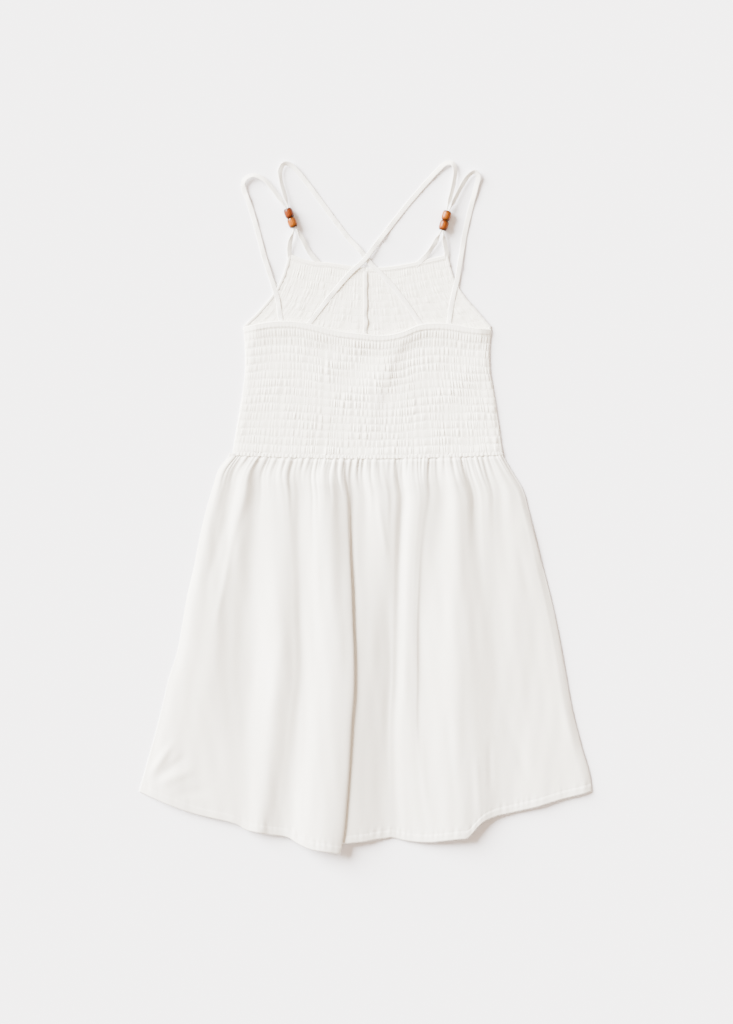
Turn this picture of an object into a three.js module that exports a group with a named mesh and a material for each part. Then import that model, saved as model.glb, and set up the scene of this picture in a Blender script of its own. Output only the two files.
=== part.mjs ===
// A child's cotton sundress with a shirred bodice, laid flat on its front with its back upward.
// Millimetres. +X runs across the dress, +Y from hem to straps, +Z up. The surface it lies on is z = 0.

import * as THREE from 'three';

// Driving sizes
const CLOTH = 1.3;                  // wall of a plain panel
const GAP = 0.3;                    // between pieces that are sewn together
const FRONT_TOP = CLOTH;            // upper face of the front panels
const BACK_REST = FRONT_TOP + GAP;  // underside of the back where it lies on the front
const WAIST_Y = 55;                 // seam of bodice and skirt at the sides
const WAIST_SAG = 4;                // how much lower the seam lies in the middle

// Shirring: rows of elastic stitching, and the gathers between them
const RIB_HEIGHT = 0.85;            // of the puffed cloth between two rows
const PUCKER = 0.22;                // how much neighbouring gathers differ in height
const BACK_RIBS = 15;
const FRONT_RIBS = 9;
const BACK_COLUMNS = 40;
const FRONT_COLUMNS = 14;           // in each half
const BACK_UNDER_STEP = 2;          // the plain underside has one column for so many above
const FRONT_UNDER_STEP = 7;

// The turned hem along the top of the back bodice, under which the straps are sewn
const HEM_DEPTH = 6;
const HEM_UNDERSIDE = 4.3;
const HEM_CLOTH = 1.9;
const HEM_ROUND = 0.3;
const WAIST_MARGIN = 0.05;          // share of the back's height left plain above the waist seam
const SLOPE_DEPTH = 16;             // below the hem the back comes down onto the front

// Straps and their beads
const STRAP_WIDTH = 5;
const STRAP_THICKNESS = 1.3;
const BUNCH_WIDTH = 3.2;            // the same tape, bunched in the bead's hole
const BUNCH_THICKNESS = 1.8;
const BEAD_RADIUS = 4.8;
const BEAD_END_RADIUS = 3.9;
const BEAD_HOLE = 2.85;
const BEAD_LENGTH = 10.2;
const BEAD_SPACING = 10.7;          // between the middles of a pair
const BEAD_SIDES = 16;
const BUNCHED = [[-12.8, 1.35], [-9, 1], [0, 1], [9, 1], [12.8, 1.35]];
                                    // where the bunched tape is held, from the pair's middle, and how far
                                    // it stands off its neighbour there, as a multiple of touching

// Trims of the front bodice
const BINDING_WIDTH = 3.2;
const BINDING_HEIGHT = 2.4;
const BINDING_ROUND = 0.6;
const NECK_HEM_SHARE = 0.055;       // share of the shown front that its top hem takes
const NECK_HEM_RELIEF = 0.6;
const SEAM_X = 0.5;                 // the front's centre seam
const FRONT_SHOWN_TO = 180;         // y in the middle, where the back covers the front
const SHOWN_SHARE = 0.5;            // share of the front's outline rows above that line
const ALLOWANCE_TOP_Y = 252;
const ALLOWANCE_END_Y = 179;
const ALLOWANCE_WIDTH = 4.6;
const ALLOWANCE_HEIGHT = 1.3;

// Outlines, from the waist or the top edge onward: x, y
const BODICE_LEFT = [
  [-129.3, 191.4], [-127.4, 166], [-127.6, 142], [-131.4, 113], [-136.7, 82], [-141, WAIST_Y],
];
const BODICE_RIGHT = [
  [134.2, 188.9], [132.3, 164], [133.2, 142], [137.8, 116], [142.2, 86], [146.3, WAIST_Y],
];
const BACK_TOP = [
  [-129.3, 191.4], [-97.5, 197.2], [-74.2, 197.2], [-55.4, 193.6], [-33.9, 188.2], [-6.4, 184.4],
  [21.2, 182.6], [39.2, 186.2], [57.7, 193.6], [75.9, 195.6], [112.4, 191], [134.2, 188.9],
];
const FRONT_NECK = [
  [-80.6, 269.2], [-62.5, 262.9], [-33.9, 259.2], [3.2, 254.4], [39.2, 257.6], [66.8, 263.6], [88, 268.6],
];
const ARMHOLE_LEFT = [
  [-80.6, 269.2], [-84.3, 255.5], [-90.1, 239.6], [-99.6, 223.7], [-114, 206.7], [-128.8, 192.4],
];
const ARMHOLE_RIGHT = [
  [88, 268.6], [92.2, 251], [97, 238], [107.1, 222.6], [119.4, 208.6], [133.4, 192.2],
];
const SKIRT_LEFT = [
  [-144.2, WAIST_Y], [-155, 41], [-161.4, 22], [-168, 0], [-176.1, -34], [-182.5, -67], [-189.1, -95],
  [-194, -124], [-200.4, -157], [-209, -184], [-215.2, -211], [-223.1, -242], [-231.3, -271],
  [-240.1, -302.3],
];
const SKIRT_RIGHT = [
  [146.3, WAIST_Y], [156.9, 37], [167.1, 20], [173.8, -3], [182.3, -37], [189.1, -64], [197.5, -97],
  [204.3, -128], [212.6, -173], [220, -214], [229, -250], [240, -292], [240.6, -302.1],
];

// The skirt's ridges and valleys, one line each from waist to hem.
// x at the waist, halfway down and at the hem; y at the hem;
// lift off the front panel just below the waist, halfway down and at the hem.
const FOLDS = [
  ['side_left', -144.2, -198, -240.1, -302.3, 0, 0, 0],
  ['roll_left', -138.9, -189.7, -227.9, -307.5, 2.2, 2.4, 3.5],
  ['dip_1', -132.5, -176, -206.7, -316.6, 1, 1.2, 1.8],
  ['ridge_1', -125.1, -161.1, -179.1, -326, 4.5, 4, 3.2],
  ['valley_1', -115.5, -144.2, -140, -335.2, 1.2, 1.6, 1.4],
  ['ridge_2', -104.9, -121.9, -126.1, -342.4, 6, 6, 5],
  ['shoulder_2', -92.2, -95.4, -113.4, -345.1, 4.5, 5.2, 4.4],
  ['valley_2', -79.5, -77.4, -100.7, -347.5, 0.6, 1, 1.2],
  ['ridge_3', -66.8, -67.8, -82.7, -350.2, 5, 4.6, 4.5],
  ['dip_3', -54.1, -57.2, -71, -356.8, 2.2, 3.8, 4.2],
  ['ridge_4', -45.6, -47.7, -58.3, -362.2, 6, 6.4, 7],
  ['dip_4', -35, -35, -46.6, -364.3, 1.8, 4.6, 7],
  ['ridge_5', -26.4, -23.3, -36, -365.8, 7, 8.2, 9.5],
  ['flap_left', -20, -13.3, -26.5, -366.8, 6.8, 8.8, 10],
  ['under_flap_left', -16.6, -17, -29.7, -358, 0.4, 0.6, 0.8],
  ['pleat_floor', -12, -8.5, -20.1, -356.6, 0.5, 0.4, 0.4],
  ['inner_ridge', -4.2, 5.3, -3.2, -355.3, 4, 2, 1.4],
  ['inner_dip', 4.2, 17, 11.7, -352.8, 0.8, 0.5, 0.6],
  ['inner_ridge_2', 15.9, 25.4, 22.3, -352, 4.2, 1.6, 1.2],
  ['under_flap_right', 29.7, 40.3, 39.2, -350.8, 0.6, 0.4, 0.6],
  ['flap_right', 39.2, 35.5, 34.5, -352.5, 6, 7.6, 8.4],
  ['ridge_6', 46.6, 43.5, 44.5, -354.3, 6.8, 8.2, 9],
  ['dip_6', 54.1, 49.8, 57.2, -355.6, 3, 7, 8],
  ['ridge_7', 60.9, 55.1, 70, -355.7, 5.5, 6.6, 7.8],
  ['valley_7', 67.8, 61.4, 79.5, -354.6, 0.8, 4.2, 6.8],
  ['ridge_8', 79.5, 80.6, 92.2, -353, 6, 6.6, 7.2],
  ['dip_8', 90.1, 96.5, 101.8, -351.8, 2.6, 5.8, 6.8],
  ['ridge_9', 97.5, 110.2, 109.2, -350.4, 5.6, 6, 7],
  ['valley_9', 104.9, 124, 124, -335, 0.6, 0.8, 1.5],
  ['ridge_10', 111.3, 133.6, 138.9, -328.3, 4.6, 4.6, 4.5],
  ['dip_10', 117.1, 141, 151.6, -325.4, 2, 3.6, 4],
  ['ridge_11', 123, 149.5, 168.5, -321.5, 4.8, 4.6, 4.6],
  ['valley_11', 129.3, 161.1, 183.4, -318, 0.8, 2.2, 4],
  ['ridge_12', 135.2, 178.1, 206.7, -310.9, 4.2, 4.4, 4.6],
  ['valley_12', 139.9, 196.1, 225.8, -306, 1, 1.6, 3.6],
  ['roll_right', 143.1, 202.5, 234.3, -303.8, 2, 3, 4.5],
  ['side_right', 146.3, 207.2, 240.6, -302.1, 0, 0, 0],
].map(([name, xWaist, xMiddle, xHem, yHem, liftTop, liftMiddle, liftHem]) => (
  { name, xWaist, xMiddle, xHem, yHem, liftTop, liftMiddle, liftHem }
));
const FOLD_STEPS = 2;               // wall columns from one line to the next
const SKIRT_ROWS = [
  0, 0.012, 0.03, 0.055, 0.09, 0.135, 0.19, 0.26, 0.34, 0.42, 0.5, 0.58, 0.66, 0.74, 0.82, 0.89, 0.95, 1,
];                                  // shares of the way from waist to hem
const TOP_SHARE = 0.07;             // where the lift just below the waist is reached
const WAIST_LIFT = 1.2;             // of the gathered edge itself
const WAIST_RELIEF = 0.22;          // share of the gathers' height that shows in the seam
const FRONT_INSET = 1;              // the front panel's side edge lies this far in
const FRONT_HEM_INSET = 4;          // and its hem this far up

// Straps, from the end sewn under the back hem, over the shoulder, to the bead pair: x, y, z, roll.
// Roll 0 lies flat, 90 stands on its edge. The last rows are the leg from the beads to the neckline.
const LOW = STRAP_THICKNESS / 2;    // a tape lying on the surface
const ON_FRONT = 3.35;              // a tape lying on the shirred front
const CROSSING = ON_FRONT + STRAP_THICKNESS + GAP;
const STRAPS = [
  {
    name: 'strap_left_outer', beads: 'left', side: -1,
    back: [
      [-88, 190.5, ON_FRONT, 0], [-90, 203, ON_FRONT, 0], [-93, 222, ON_FRONT, 0], [-98.3, 239, 3.1, 0],
      [-106.4, 264, 1.3, 0], [-114.5, 294.7, LOW, 4], [-122.7, 321.6, LOW + 0.3, 14],
      [-128, 336, 1.6, 40], [-129.2, 344, 2.6, 66], [-124.6, 350, 3.1, 74], [-116.8, 352, 3.2, 76],
      [-107, 347.4, 3.3, 76], [-98, 337.4, 3.7, 80], [-89.6, 325.8, 4.3, 87],
    ],
    leg: [[-79.6, 280.4, 3.9, 44], [-80.4, 272, 3.5, 14], [-79.2, 263.4, ON_FRONT, 0]],
  },
  {
    name: 'strap_left_inner', beads: 'left', side: 1,
    back: [
      [61.5, 190.5, ON_FRONT, 0], [55, 200, ON_FRONT, 0], [39.2, 222.6, ON_FRONT, 0], [22, 243, ON_FRONT, 0],
      [6.4, 257.6, ON_FRONT, 0], [-5, 272, 2.2, 0], [-18.4, 286.5, LOW, 0], [-34.8, 308.1, LOW, 0],
      [-59, 340.6, LOW, 6], [-70.5, 355, 1.3, 26], [-79, 363.2, 2.2, 56], [-85.6, 364.4, 3, 72],
      [-90, 357.4, 3.3, 80], [-89.4, 347.6, 3.6, 80], [-85, 330.4, 4.3, 87],
    ],
    leg: [[-67.2, 285.6, 3.9, 44], [-61, 274.6, 3.5, 14], [-55.4, 263, ON_FRONT, 0]],
  },
  {
    name: 'strap_right_inner', beads: 'right', side: -1,
    back: [
      [-55.4, 189, ON_FRONT, 0], [-50, 198, ON_FRONT, 0], [-40.9, 220.9, ON_FRONT, 0], [-15.4, 248.4, 4.1, 0],
      [-2, 260.6, CROSSING, 0], [9.6, 275.4, 4.2, 0], [24.4, 294.7, LOW, 0], [51.5, 328.6, LOW, 0],
      [78.4, 358.3, 1.3, 14], [86, 364.6, 2.3, 48], [92.6, 364.8, 3, 72], [95.6, 357.6, 3.3, 80],
      [94.4, 345.6, 3.6, 80], [90.3, 327.4, 4.3, 87],
    ],
    leg: [[74.6, 281, 3.9, 44], [67.4, 270.6, 3.5, 14], [60.4, 260.6, ON_FRONT, 0]],
  },
  {
    name: 'strap_right_outer', beads: 'right', side: 1,
    back: [
      [89, 188.6, ON_FRONT, 0], [89.7, 200, ON_FRONT, 0], [93.4, 222, ON_FRONT, 0], [98, 242, ON_FRONT, 0],
      [101.6, 263.5, 1.4, 0], [107, 294.7, LOW, 0], [113.4, 321.6, LOW, 4], [118.6, 341.6, 1.4, 30],
      [120.4, 351, 2.6, 64], [116.6, 355.6, 3.1, 74], [110.6, 352.4, 3.3, 78], [102.6, 341, 3.6, 80],
      [94.4, 325, 4.3, 87],
    ],
    leg: [[84.4, 281, 3.9, 44], [86.6, 272, 3.5, 14], [87, 264.6, ON_FRONT, 0]],
  },
];
const BEAD_PAIRS = {
  left: { middle: [-78.9, 306.5], down: [0.344, -0.939], names: ['bead_left_upper', 'bead_left_lower'] },
  right: { middle: [84.9, 303.8], down: [-0.265, -0.964], names: ['bead_right_upper', 'bead_right_lower'] },
};

const cotton = (color) => new THREE.MeshStandardMaterial({ color, roughness: 0.92, metalness: 0 });
const plainCotton = cotton(0xf4f3f0);
const shirredCotton = cotton(0xf1f0ec);
const tapeCotton = cotton(0xf5f4f1);
const beadWood = new THREE.MeshStandardMaterial({ color: 0xa9592a, roughness: 0.32, metalness: 0 });

const lerp = THREE.MathUtils.lerp;

function named(name, geometry, material) {
  const mesh = new THREE.Mesh(geometry, material);
  mesh.name = name;
  return mesh;
}

// The value at t of a smooth curve through values that stand at the given places.
function through(places, values, t) {
  let k = 0;
  while (k < places.length - 2 && t > places[k + 1]) {
    k += 1;
  }
  const share = THREE.MathUtils.clamp((t - places[k]) / (places[k + 1] - places[k]), 0, 1);
  return lerp(values[k], values[k + 1], share * share * (3 - 2 * share));
}

// The point of an outline at share t of its run in x (axis 0) or y (axis 1).
function alongOutline(outline, axis, t) {
  const first = outline[0][axis];
  const target = lerp(first, outline[outline.length - 1][axis], t);
  let k = 0;
  while (k < outline.length - 2 && Math.abs(target - first) > Math.abs(outline[k + 1][axis] - first)) {
    k += 1;
  }
  const share = (target - outline[k][axis]) / (outline[k + 1][axis] - outline[k][axis]);
  return [lerp(outline[k][0], outline[k + 1][0], share), lerp(outline[k][1], outline[k + 1][1], share)];
}

// The same outline, moved sideways by a distance: to its left as it runs if positive.
function offsetOutline(outline, distance) {
  return outline.map((point, k) => {
    const before = outline[Math.max(k - 1, 0)];
    const after = outline[Math.min(k + 1, outline.length - 1)];
    const length = Math.hypot(after[0] - before[0], after[1] - before[1]);
    const nx = -(after[1] - before[1]) / length;
    const ny = (after[0] - before[0]) / length;
    return [point[0] + nx * distance, point[1] + ny * distance];
  });
}

// A closed wall between an upper and a lower grid of points. Rows run toward the hem, columns toward +X.
// The lower grid may have fewer rows and columns.
function wall(upper, lower) {
  const points = [];
  const faces = [];
  const store = (grid) => grid.map((row) => row.map((point) => points.push(point) - 1));
  const top = store(upper);
  const under = store(lower);
  const sheet = (grid, facesUp) => {
    for (let i = 0; i + 1 < grid.length; i += 1) {
      for (let j = 0; j + 1 < grid[i].length; j += 1) {
        const [a, b, c, d] = [grid[i][j], grid[i + 1][j], grid[i + 1][j + 1], grid[i][j + 1]];
        const pair = facesUp ? [[a, b, c], [a, c, d]] : [[a, c, b], [a, d, c]];
        faces.push(...pair);
      }
    }
  };
  const zip = (above, below) => {
    let i = 0;
    let k = 0;
    while (i + 1 < above.length || k + 1 < below.length) {
      const nextAbove = (i + 1) / (above.length - 1);
      const nextBelow = (k + 1) / (below.length - 1);
      if (k + 1 === below.length || (i + 1 < above.length && nextAbove <= nextBelow)) {
        faces.push([above[i], below[k], above[i + 1]]);
        i += 1;
      } else {
        faces.push([above[i], below[k], below[k + 1]]);
        k += 1;
      }
    }
  };
  const edge = (grid, column) => grid.map((row) => row.at(column));
  const reversed = (line) => [...line].reverse();
  sheet(top, true);
  sheet(under, false);
  zip(edge(top, 0), edge(under, 0));
  zip(top[top.length - 1], under[under.length - 1]);
  zip(reversed(edge(top, -1)), reversed(edge(under, -1)));
  zip(reversed(top[0]), reversed(under[0]));
  const geometry = new THREE.BufferGeometry();
  geometry.setAttribute('position', new THREE.Float32BufferAttribute(points.flat(), 3));
  geometry.setIndex(faces.flat());
  geometry.computeVertexNormals();
  return geometry;
}

// A closed bar of four-cornered sections: middle, the vector across it and the vector through it.
function bar(sections) {
  const points = [];
  const faces = [];
  for (const { middle, across, through: thick } of sections) {
    for (const [a, b] of [[-1, -1], [1, -1], [1, 1], [-1, 1]]) {
      points.push(
        middle.x + a * across.x + b * thick.x,
        middle.y + a * across.y + b * thick.y,
        middle.z + a * across.z + b * thick.z,
      );
    }
  }
  for (let i = 0; i + 1 < sections.length; i += 1) {
    for (let k = 0; k < 4; k += 1) {
      const [a, b] = [4 * i + k, 4 * i + ((k + 1) % 4)];
      faces.push(a, b, b + 4, a, b + 4, a + 4);
    }
  }
  const last = 4 * (sections.length - 1);
  faces.push(0, 2, 1, 0, 3, 2);
  faces.push(last, last + 1, last + 2, last, last + 2, last + 3);
  const geometry = new THREE.BufferGeometry();
  geometry.setAttribute('position', new THREE.Float32BufferAttribute(points, 3));
  geometry.setIndex(faces);
  geometry.computeVertexNormals();
  return geometry;
}

const waistY = (x) => WAIST_Y - WAIST_SAG * (1 - (x / FOLDS[FOLDS.length - 1].xWaist) ** 2);

// The skirt's back panel: its fold lines, joined by smooth curves, give the middle of the cloth,
// and the two faces lie half a cloth to either side of it.
function skirtLine(fold, share) {
  const first = FOLDS[0];
  const last = FOLDS[FOLDS.length - 1];
  const place = (x, left, right) => (x - left) / (right - left);
  const atWaist = place(fold.xWaist, first.xWaist, last.xWaist);
  const atMiddle = place(fold.xMiddle, first.xMiddle, last.xMiddle);
  const atHem = place(fold.xHem, first.xHem, last.xHem);
  const bend = atMiddle - (atWaist + atHem) / 2;
  const across = lerp(atWaist, atHem, share) + 4 * bend * share * (1 - share);
  const left = alongOutline(SKIRT_LEFT, 1, share)[0];
  const right = alongOutline(SKIRT_RIGHT, 1, share)[0];
  const waist = WAIST_LIFT + WAIST_RELIEF * fold.liftTop;
  const lift = through(
    [0, TOP_SHARE, 0.5, 1],
    [fold.liftMiddle === 0 ? 0 : waist, fold.liftTop, fold.liftMiddle, fold.liftHem],
    share,
  );
  return [lerp(left, right, across), lerp(waistY(fold.xWaist) - GAP, fold.yHem, share), lift];
}

// The point a share of the way from control point k to the next one, on a smooth curve through all.
function between(controls, k, share) {
  const at = (n) => controls[THREE.MathUtils.clamp(n, 0, controls.length - 1)];
  return at(k).map((_, axis) => {
    const [a, b, c, d] = [at(k - 1), at(k), at(k + 1), at(k + 2)].map((point) => point[axis]);
    const bend = 2 * a - 5 * b + 4 * c - d;
    const twist = 3 * b - a - 3 * c + d;
    return 0.5 * (2 * b + (c - a) * share + bend * share ** 2 + twist * share ** 3);
  });
}

function skirtBack() {
  const middle = SKIRT_ROWS.map((share) => {
    const controls = FOLDS.map((fold) => skirtLine(fold, share));
    const row = [];
    for (let k = 0; k + 1 < controls.length; k += 1) {
      for (let step = 0; step < FOLD_STEPS; step += 1) {
        row.push(step === 0 ? controls[k] : between(controls, k, step / FOLD_STEPS));
      }
    }
    row.push(controls[controls.length - 1]);
    return row.map(([x, y, lift]) => new THREE.Vector3(x, y, BACK_REST + CLOTH / 2 + Math.max(lift, 0)));
  });
  const face = (side) => middle.map((row, i) => row.map((point, j) => {
    const [leftward, rightward] = [row[Math.max(j - 1, 0)], row[Math.min(j + 1, row.length - 1)]];
    const across = new THREE.Vector3().subVectors(rightward, leftward);
    const above = middle[Math.max(i - 1, 0)][j];
    const below = middle[Math.min(i + 1, middle.length - 1)][j];
    const normal = across.cross(new THREE.Vector3().subVectors(above, below)).normalize();
    const moved = point.clone().addScaledVector(normal, (side * CLOTH) / 2);
    const flat = j === 0 || j === row.length - 1;
    const x = flat ? point.x : moved.x;
    const y = i === 0 || i === middle.length - 1 ? point.y : moved.y;
    return [x, y, Math.max(flat ? point.z + (side * CLOTH) / 2 : moved.z, BACK_REST)];
  }));
  return named('skirt_back', wall(face(1), face(-1)), plainCotton);
}

// The skirt's front panel lies flat beneath, a little inside the back's outline.
function skirtFront() {
  const left = offsetOutline(SKIRT_LEFT, FRONT_INSET);
  const right = offsetOutline(SKIRT_RIGHT, -FRONT_INSET);
  const hem = FOLDS.filter((fold) => !fold.name.startsWith('under') && !fold.name.startsWith('side'))
    .map((fold) => [fold.xHem, fold.yHem + FRONT_HEM_INSET]);
  const topY = WAIST_Y - WAIST_SAG - GAP;
  const outline = [[left[0][0], topY], ...left.slice(1, -1), ...hem, ...right.slice(1, -1).reverse()];
  outline.push([right[0][0], topY]);
  const shape = new THREE.Shape(outline.map(([x, y]) => new THREE.Vector2(x, y)));
  const geometry = new THREE.ExtrudeGeometry(shape, { depth: CLOTH, bevelEnabled: false });
  return named('skirt_front', geometry, plainCotton);
}

// Every so manyth point of a line, and its last.
const thinned = (line, step) => line.filter((_, k) => k % step === 0 || k === line.length - 1);

const shares = (count) => Array.from({ length: count + 1 }, (_, k) => k / count);

// A patch between two side lines and a top and a bottom line, its rows standing at the given shares.
function patch(left, right, top, bottom, rows) {
  const lastLeft = left[left.length - 1];
  const lastRight = right[right.length - 1];
  return rows.map((down, i) => top.map((above, j) => {
    const across = j / (top.length - 1);
    return [0, 1].map((axis) => (
      lerp(left[i][axis], right[i][axis], across)
      + (1 - down) * (above[axis] - lerp(left[0][axis], right[0][axis], across))
      + down * (bottom[j][axis] - lerp(lastLeft[axis], lastRight[axis], across))
    ));
  }));
}

// Height of a shirred row above the plain cloth: nothing in the stitched lines (even rows),
// a puffed rib in between, its gathers standing higher and lower in turn.
function shirring(row, column) {
  if (row % 2 === 0) {
    return 0;
  }
  const turn = (column + (row - 1) / 2) % 2 === 0 ? 1 : -1;
  return RIB_HEIGHT + turn * PUCKER;
}

// The back bodice: a turned hem on top, shirred rows, and a plain margin above the waist seam.
function bodiceBack() {
  const columns = shares(BACK_COLUMNS);
  const hemShare = HEM_DEPTH / (BACK_TOP[0][1] - WAIST_Y);
  const ribs = shares(2 * BACK_RIBS).map((share) => lerp(hemShare * 1.25, 1 - WAIST_MARGIN, share));
  const rows = [0, hemShare * 0.5, hemShare, ...ribs, 1];
  const left = rows.map((share) => alongOutline(BODICE_LEFT, 1, share));
  const right = rows.map((share) => alongOutline(BODICE_RIGHT, 1, share));
  const bottomRow = columns.map((share) => {
    const x = lerp(BODICE_LEFT[5][0], BODICE_RIGHT[5][0], share);
    return [x, waistY(x)];
  });
  const topRow = columns.map((share) => alongOutline(BACK_TOP, 0, share));
  const plan = patch(left, right, topRow, bottomRow, rows);
  const underside = (share) => {
    const below = (share - hemShare) * (BACK_TOP[0][1] - WAIST_Y);
    return lerp(HEM_UNDERSIDE, BACK_REST, THREE.MathUtils.clamp(below / SLOPE_DEPTH, 0, 1));
  };
  const upper = plan.map((line, i) => line.map(([x, y], j) => {
    const isHem = i <= 2;
    const isEdge = j === 0 || j === columns.length - 1;
    const relief = isHem ? HEM_CLOTH - CLOTH + (i === 1 ? HEM_ROUND : 0) : shirring(i - 3, j);
    const inRows = isHem || i === plan.length - 1 || !isEdge;
    return [x, y, underside(rows[i]) + CLOTH + (inRows && i < plan.length - 1 ? relief : 0)];
  }));
  const plainRows = [0, 2, 3, 5, 7, 9, 11, 22, plan.length - 1];
  const lower = plainRows.map((i) => (
    thinned(plan[i], BACK_UNDER_STEP).map(([x, y]) => [x, y, underside(rows[i])])
  ));
  return named('bodice_back', wall(upper, lower), shirredCotton);
}

// The height y of an outline at x, for an outline that runs toward +X.
function heightAt(outline, x) {
  const share = (x - outline[0][0]) / (outline[outline.length - 1][0] - outline[0][0]);
  return alongOutline(outline, 0, share)[1];
}

// Rows of the front bodice that show above the back: its narrow top hem, then the shirring.
function frontRows() {
  const ribs = shares(2 * FRONT_RIBS).map((share) => lerp(NECK_HEM_SHARE * 1.3, 1, share));
  return [0, NECK_HEM_SHARE, ...ribs];
}

// The front panel's edge along one armhole, inside the binding.
function frontEdge(side) {
  const edge = offsetOutline(side < 0 ? ARMHOLE_LEFT : ARMHOLE_RIGHT, -side * (BINDING_WIDTH + GAP));
  edge[0][1] = heightAt(FRONT_NECK, edge[0][0]);
  return edge;
}

// One half of the front bodice, seen from its inside: shirred where it shows above the back,
// plain below. side is -1 for the left half and 1 for the right half.
function bodiceFront(side) {
  const edge = frontEdge(side);
  const flank = offsetOutline(side < 0 ? BODICE_LEFT : BODICE_RIGHT, -side * FRONT_INSET);
  const centreX = SEAM_X + (side * GAP) / 2;
  const centreTop = heightAt(FRONT_NECK, centreX);
  const shown = frontRows();
  const hidden = [0.3, 1];
  const rows = [...shown.map((share) => share * SHOWN_SHARE)];
  rows.push(...hidden.map((share) => lerp(SHOWN_SHARE, 1, share)));
  const outer = [
    ...shown.map((share) => alongOutline(edge, 1, share)),
    ...hidden.map((share) => alongOutline(flank, 1, share)),
  ];
  const bottomY = waistY(centreX);
  const inner = [
    ...shown.map((share) => [centreX, lerp(centreTop, FRONT_SHOWN_TO, share)]),
    ...hidden.map((share) => [centreX, lerp(FRONT_SHOWN_TO, bottomY, share)]),
  ];
  const [left, right] = side < 0 ? [outer, inner] : [inner, outer];
  const columns = shares(FRONT_COLUMNS);
  const top = columns.map((share) => {
    const x = lerp(left[0][0], right[0][0], share);
    return [x, heightAt(FRONT_NECK, x)];
  });
  const bottom = columns.map((share) => {
    const x = lerp(left[left.length - 1][0], right[right.length - 1][0], share);
    return [x, waistY(x)];
  });
  left[left.length - 1][1] = bottom[0][1];
  right[right.length - 1][1] = bottom[columns.length - 1][1];
  const plan = patch(left, right, top, bottom, rows);
  const lastShown = shown.length - 1;
  const upper = plan.map((line, i) => line.map(([x, y], j) => {
    const relief = i < 2 ? NECK_HEM_RELIEF : shirring(i - 2, j);
    const plain = i >= lastShown || (i >= 2 && (j === 0 || j === columns.length - 1));
    return [x, y, FRONT_TOP + (plain ? 0 : relief)];
  }));
  const lower = plan.map((line) => thinned(line, FRONT_UNDER_STEP).map(([x, y]) => [x, y, 0]));
  return named(side < 0 ? 'bodice_front_left' : 'bodice_front_right', wall(upper, lower), shirredCotton);
}

// Sections of a bar along a curve. Each turns about the curve by its roll, in degrees.
function sectionsAlong(curve, steps, sizeAt) {
  const up = new THREE.Vector3(0, 0, 1);
  return Array.from({ length: steps + 1 }, (_, k) => {
    const t = k / steps;
    const tangent = curve.getTangent(t);
    const level = new THREE.Vector3().crossVectors(up, tangent).normalize();
    const raised = new THREE.Vector3().crossVectors(tangent, level);
    const { width, thickness, roll } = sizeAt(t);
    const turn = THREE.MathUtils.degToRad(roll);
    const across = level.clone().multiplyScalar(Math.cos(turn)).addScaledVector(raised, Math.sin(turn));
    const thick = raised.clone().multiplyScalar(Math.cos(turn)).addScaledVector(level, -Math.sin(turn));
    across.multiplyScalar(width / 2);
    thick.multiplyScalar(thickness / 2);
    const middle = curve.getPoint(t);
    middle.z = Math.max(middle.z, Math.abs(across.z) + Math.abs(thick.z));
    return { middle, across, through: thick };
  });
}

// The x of an outline at height y, for an outline that runs toward the hem.
function widthAt(outline, y) {
  const share = (y - outline[0][1]) / (outline[outline.length - 1][1] - outline[0][1]);
  return alongOutline(outline, 1, share)[0];
}

// The bias binding of one armhole, from the strap corner down to the back's hem.
function armholeBinding(side) {
  const armhole = side < 0 ? ARMHOLE_LEFT : ARMHOLE_RIGHT;
  const inside = offsetOutline(armhole, -side * BINDING_WIDTH);
  const topY = Math.min(armhole[0][1], inside[0][1]);
  const endY = Math.max(armhole[armhole.length - 1][1], inside[inside.length - 1][1]);
  const levels = frontRows().map((share) => alongOutline(frontEdge(side), 1, share)[1]);
  const plan = [topY, ...levels.filter((y) => y < topY && y > endY), endY].map((y) => {
    const edges = [widthAt(armhole, y), widthAt(inside, y)].sort((a, b) => a - b);
    return [edges[0], (edges[0] + edges[1]) / 2, edges[1]].map((x) => [x, y]);
  });
  const heights = [BINDING_HEIGHT - BINDING_ROUND, BINDING_HEIGHT, BINDING_HEIGHT - BINDING_ROUND];
  const upper = plan.map((row) => row.map(([x, y], j) => [x, y, heights[j]]));
  const lower = plan.map((row) => row.map(([x, y]) => [x, y, 0]));
  const name = side < 0 ? 'armhole_binding_left' : 'armhole_binding_right';
  return named(name, wall(upper, lower), plainCotton);
}

// The allowance of the front's centre seam stands up along the inside.
function seamAllowance() {
  const z = ON_FRONT - STRAP_THICKNESS / 2 + ALLOWANCE_HEIGHT / 2;
  const curve = new THREE.LineCurve3(
    new THREE.Vector3(SEAM_X, ALLOWANCE_TOP_Y, z),
    new THREE.Vector3(SEAM_X, ALLOWANCE_END_Y, z),
  );
  const size = { width: ALLOWANCE_WIDTH, thickness: ALLOWANCE_HEIGHT, roll: 0 };
  return named('front_seam_allowance', bar(sectionsAlong(curve, 6, () => size)), plainCotton);
}

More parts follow.
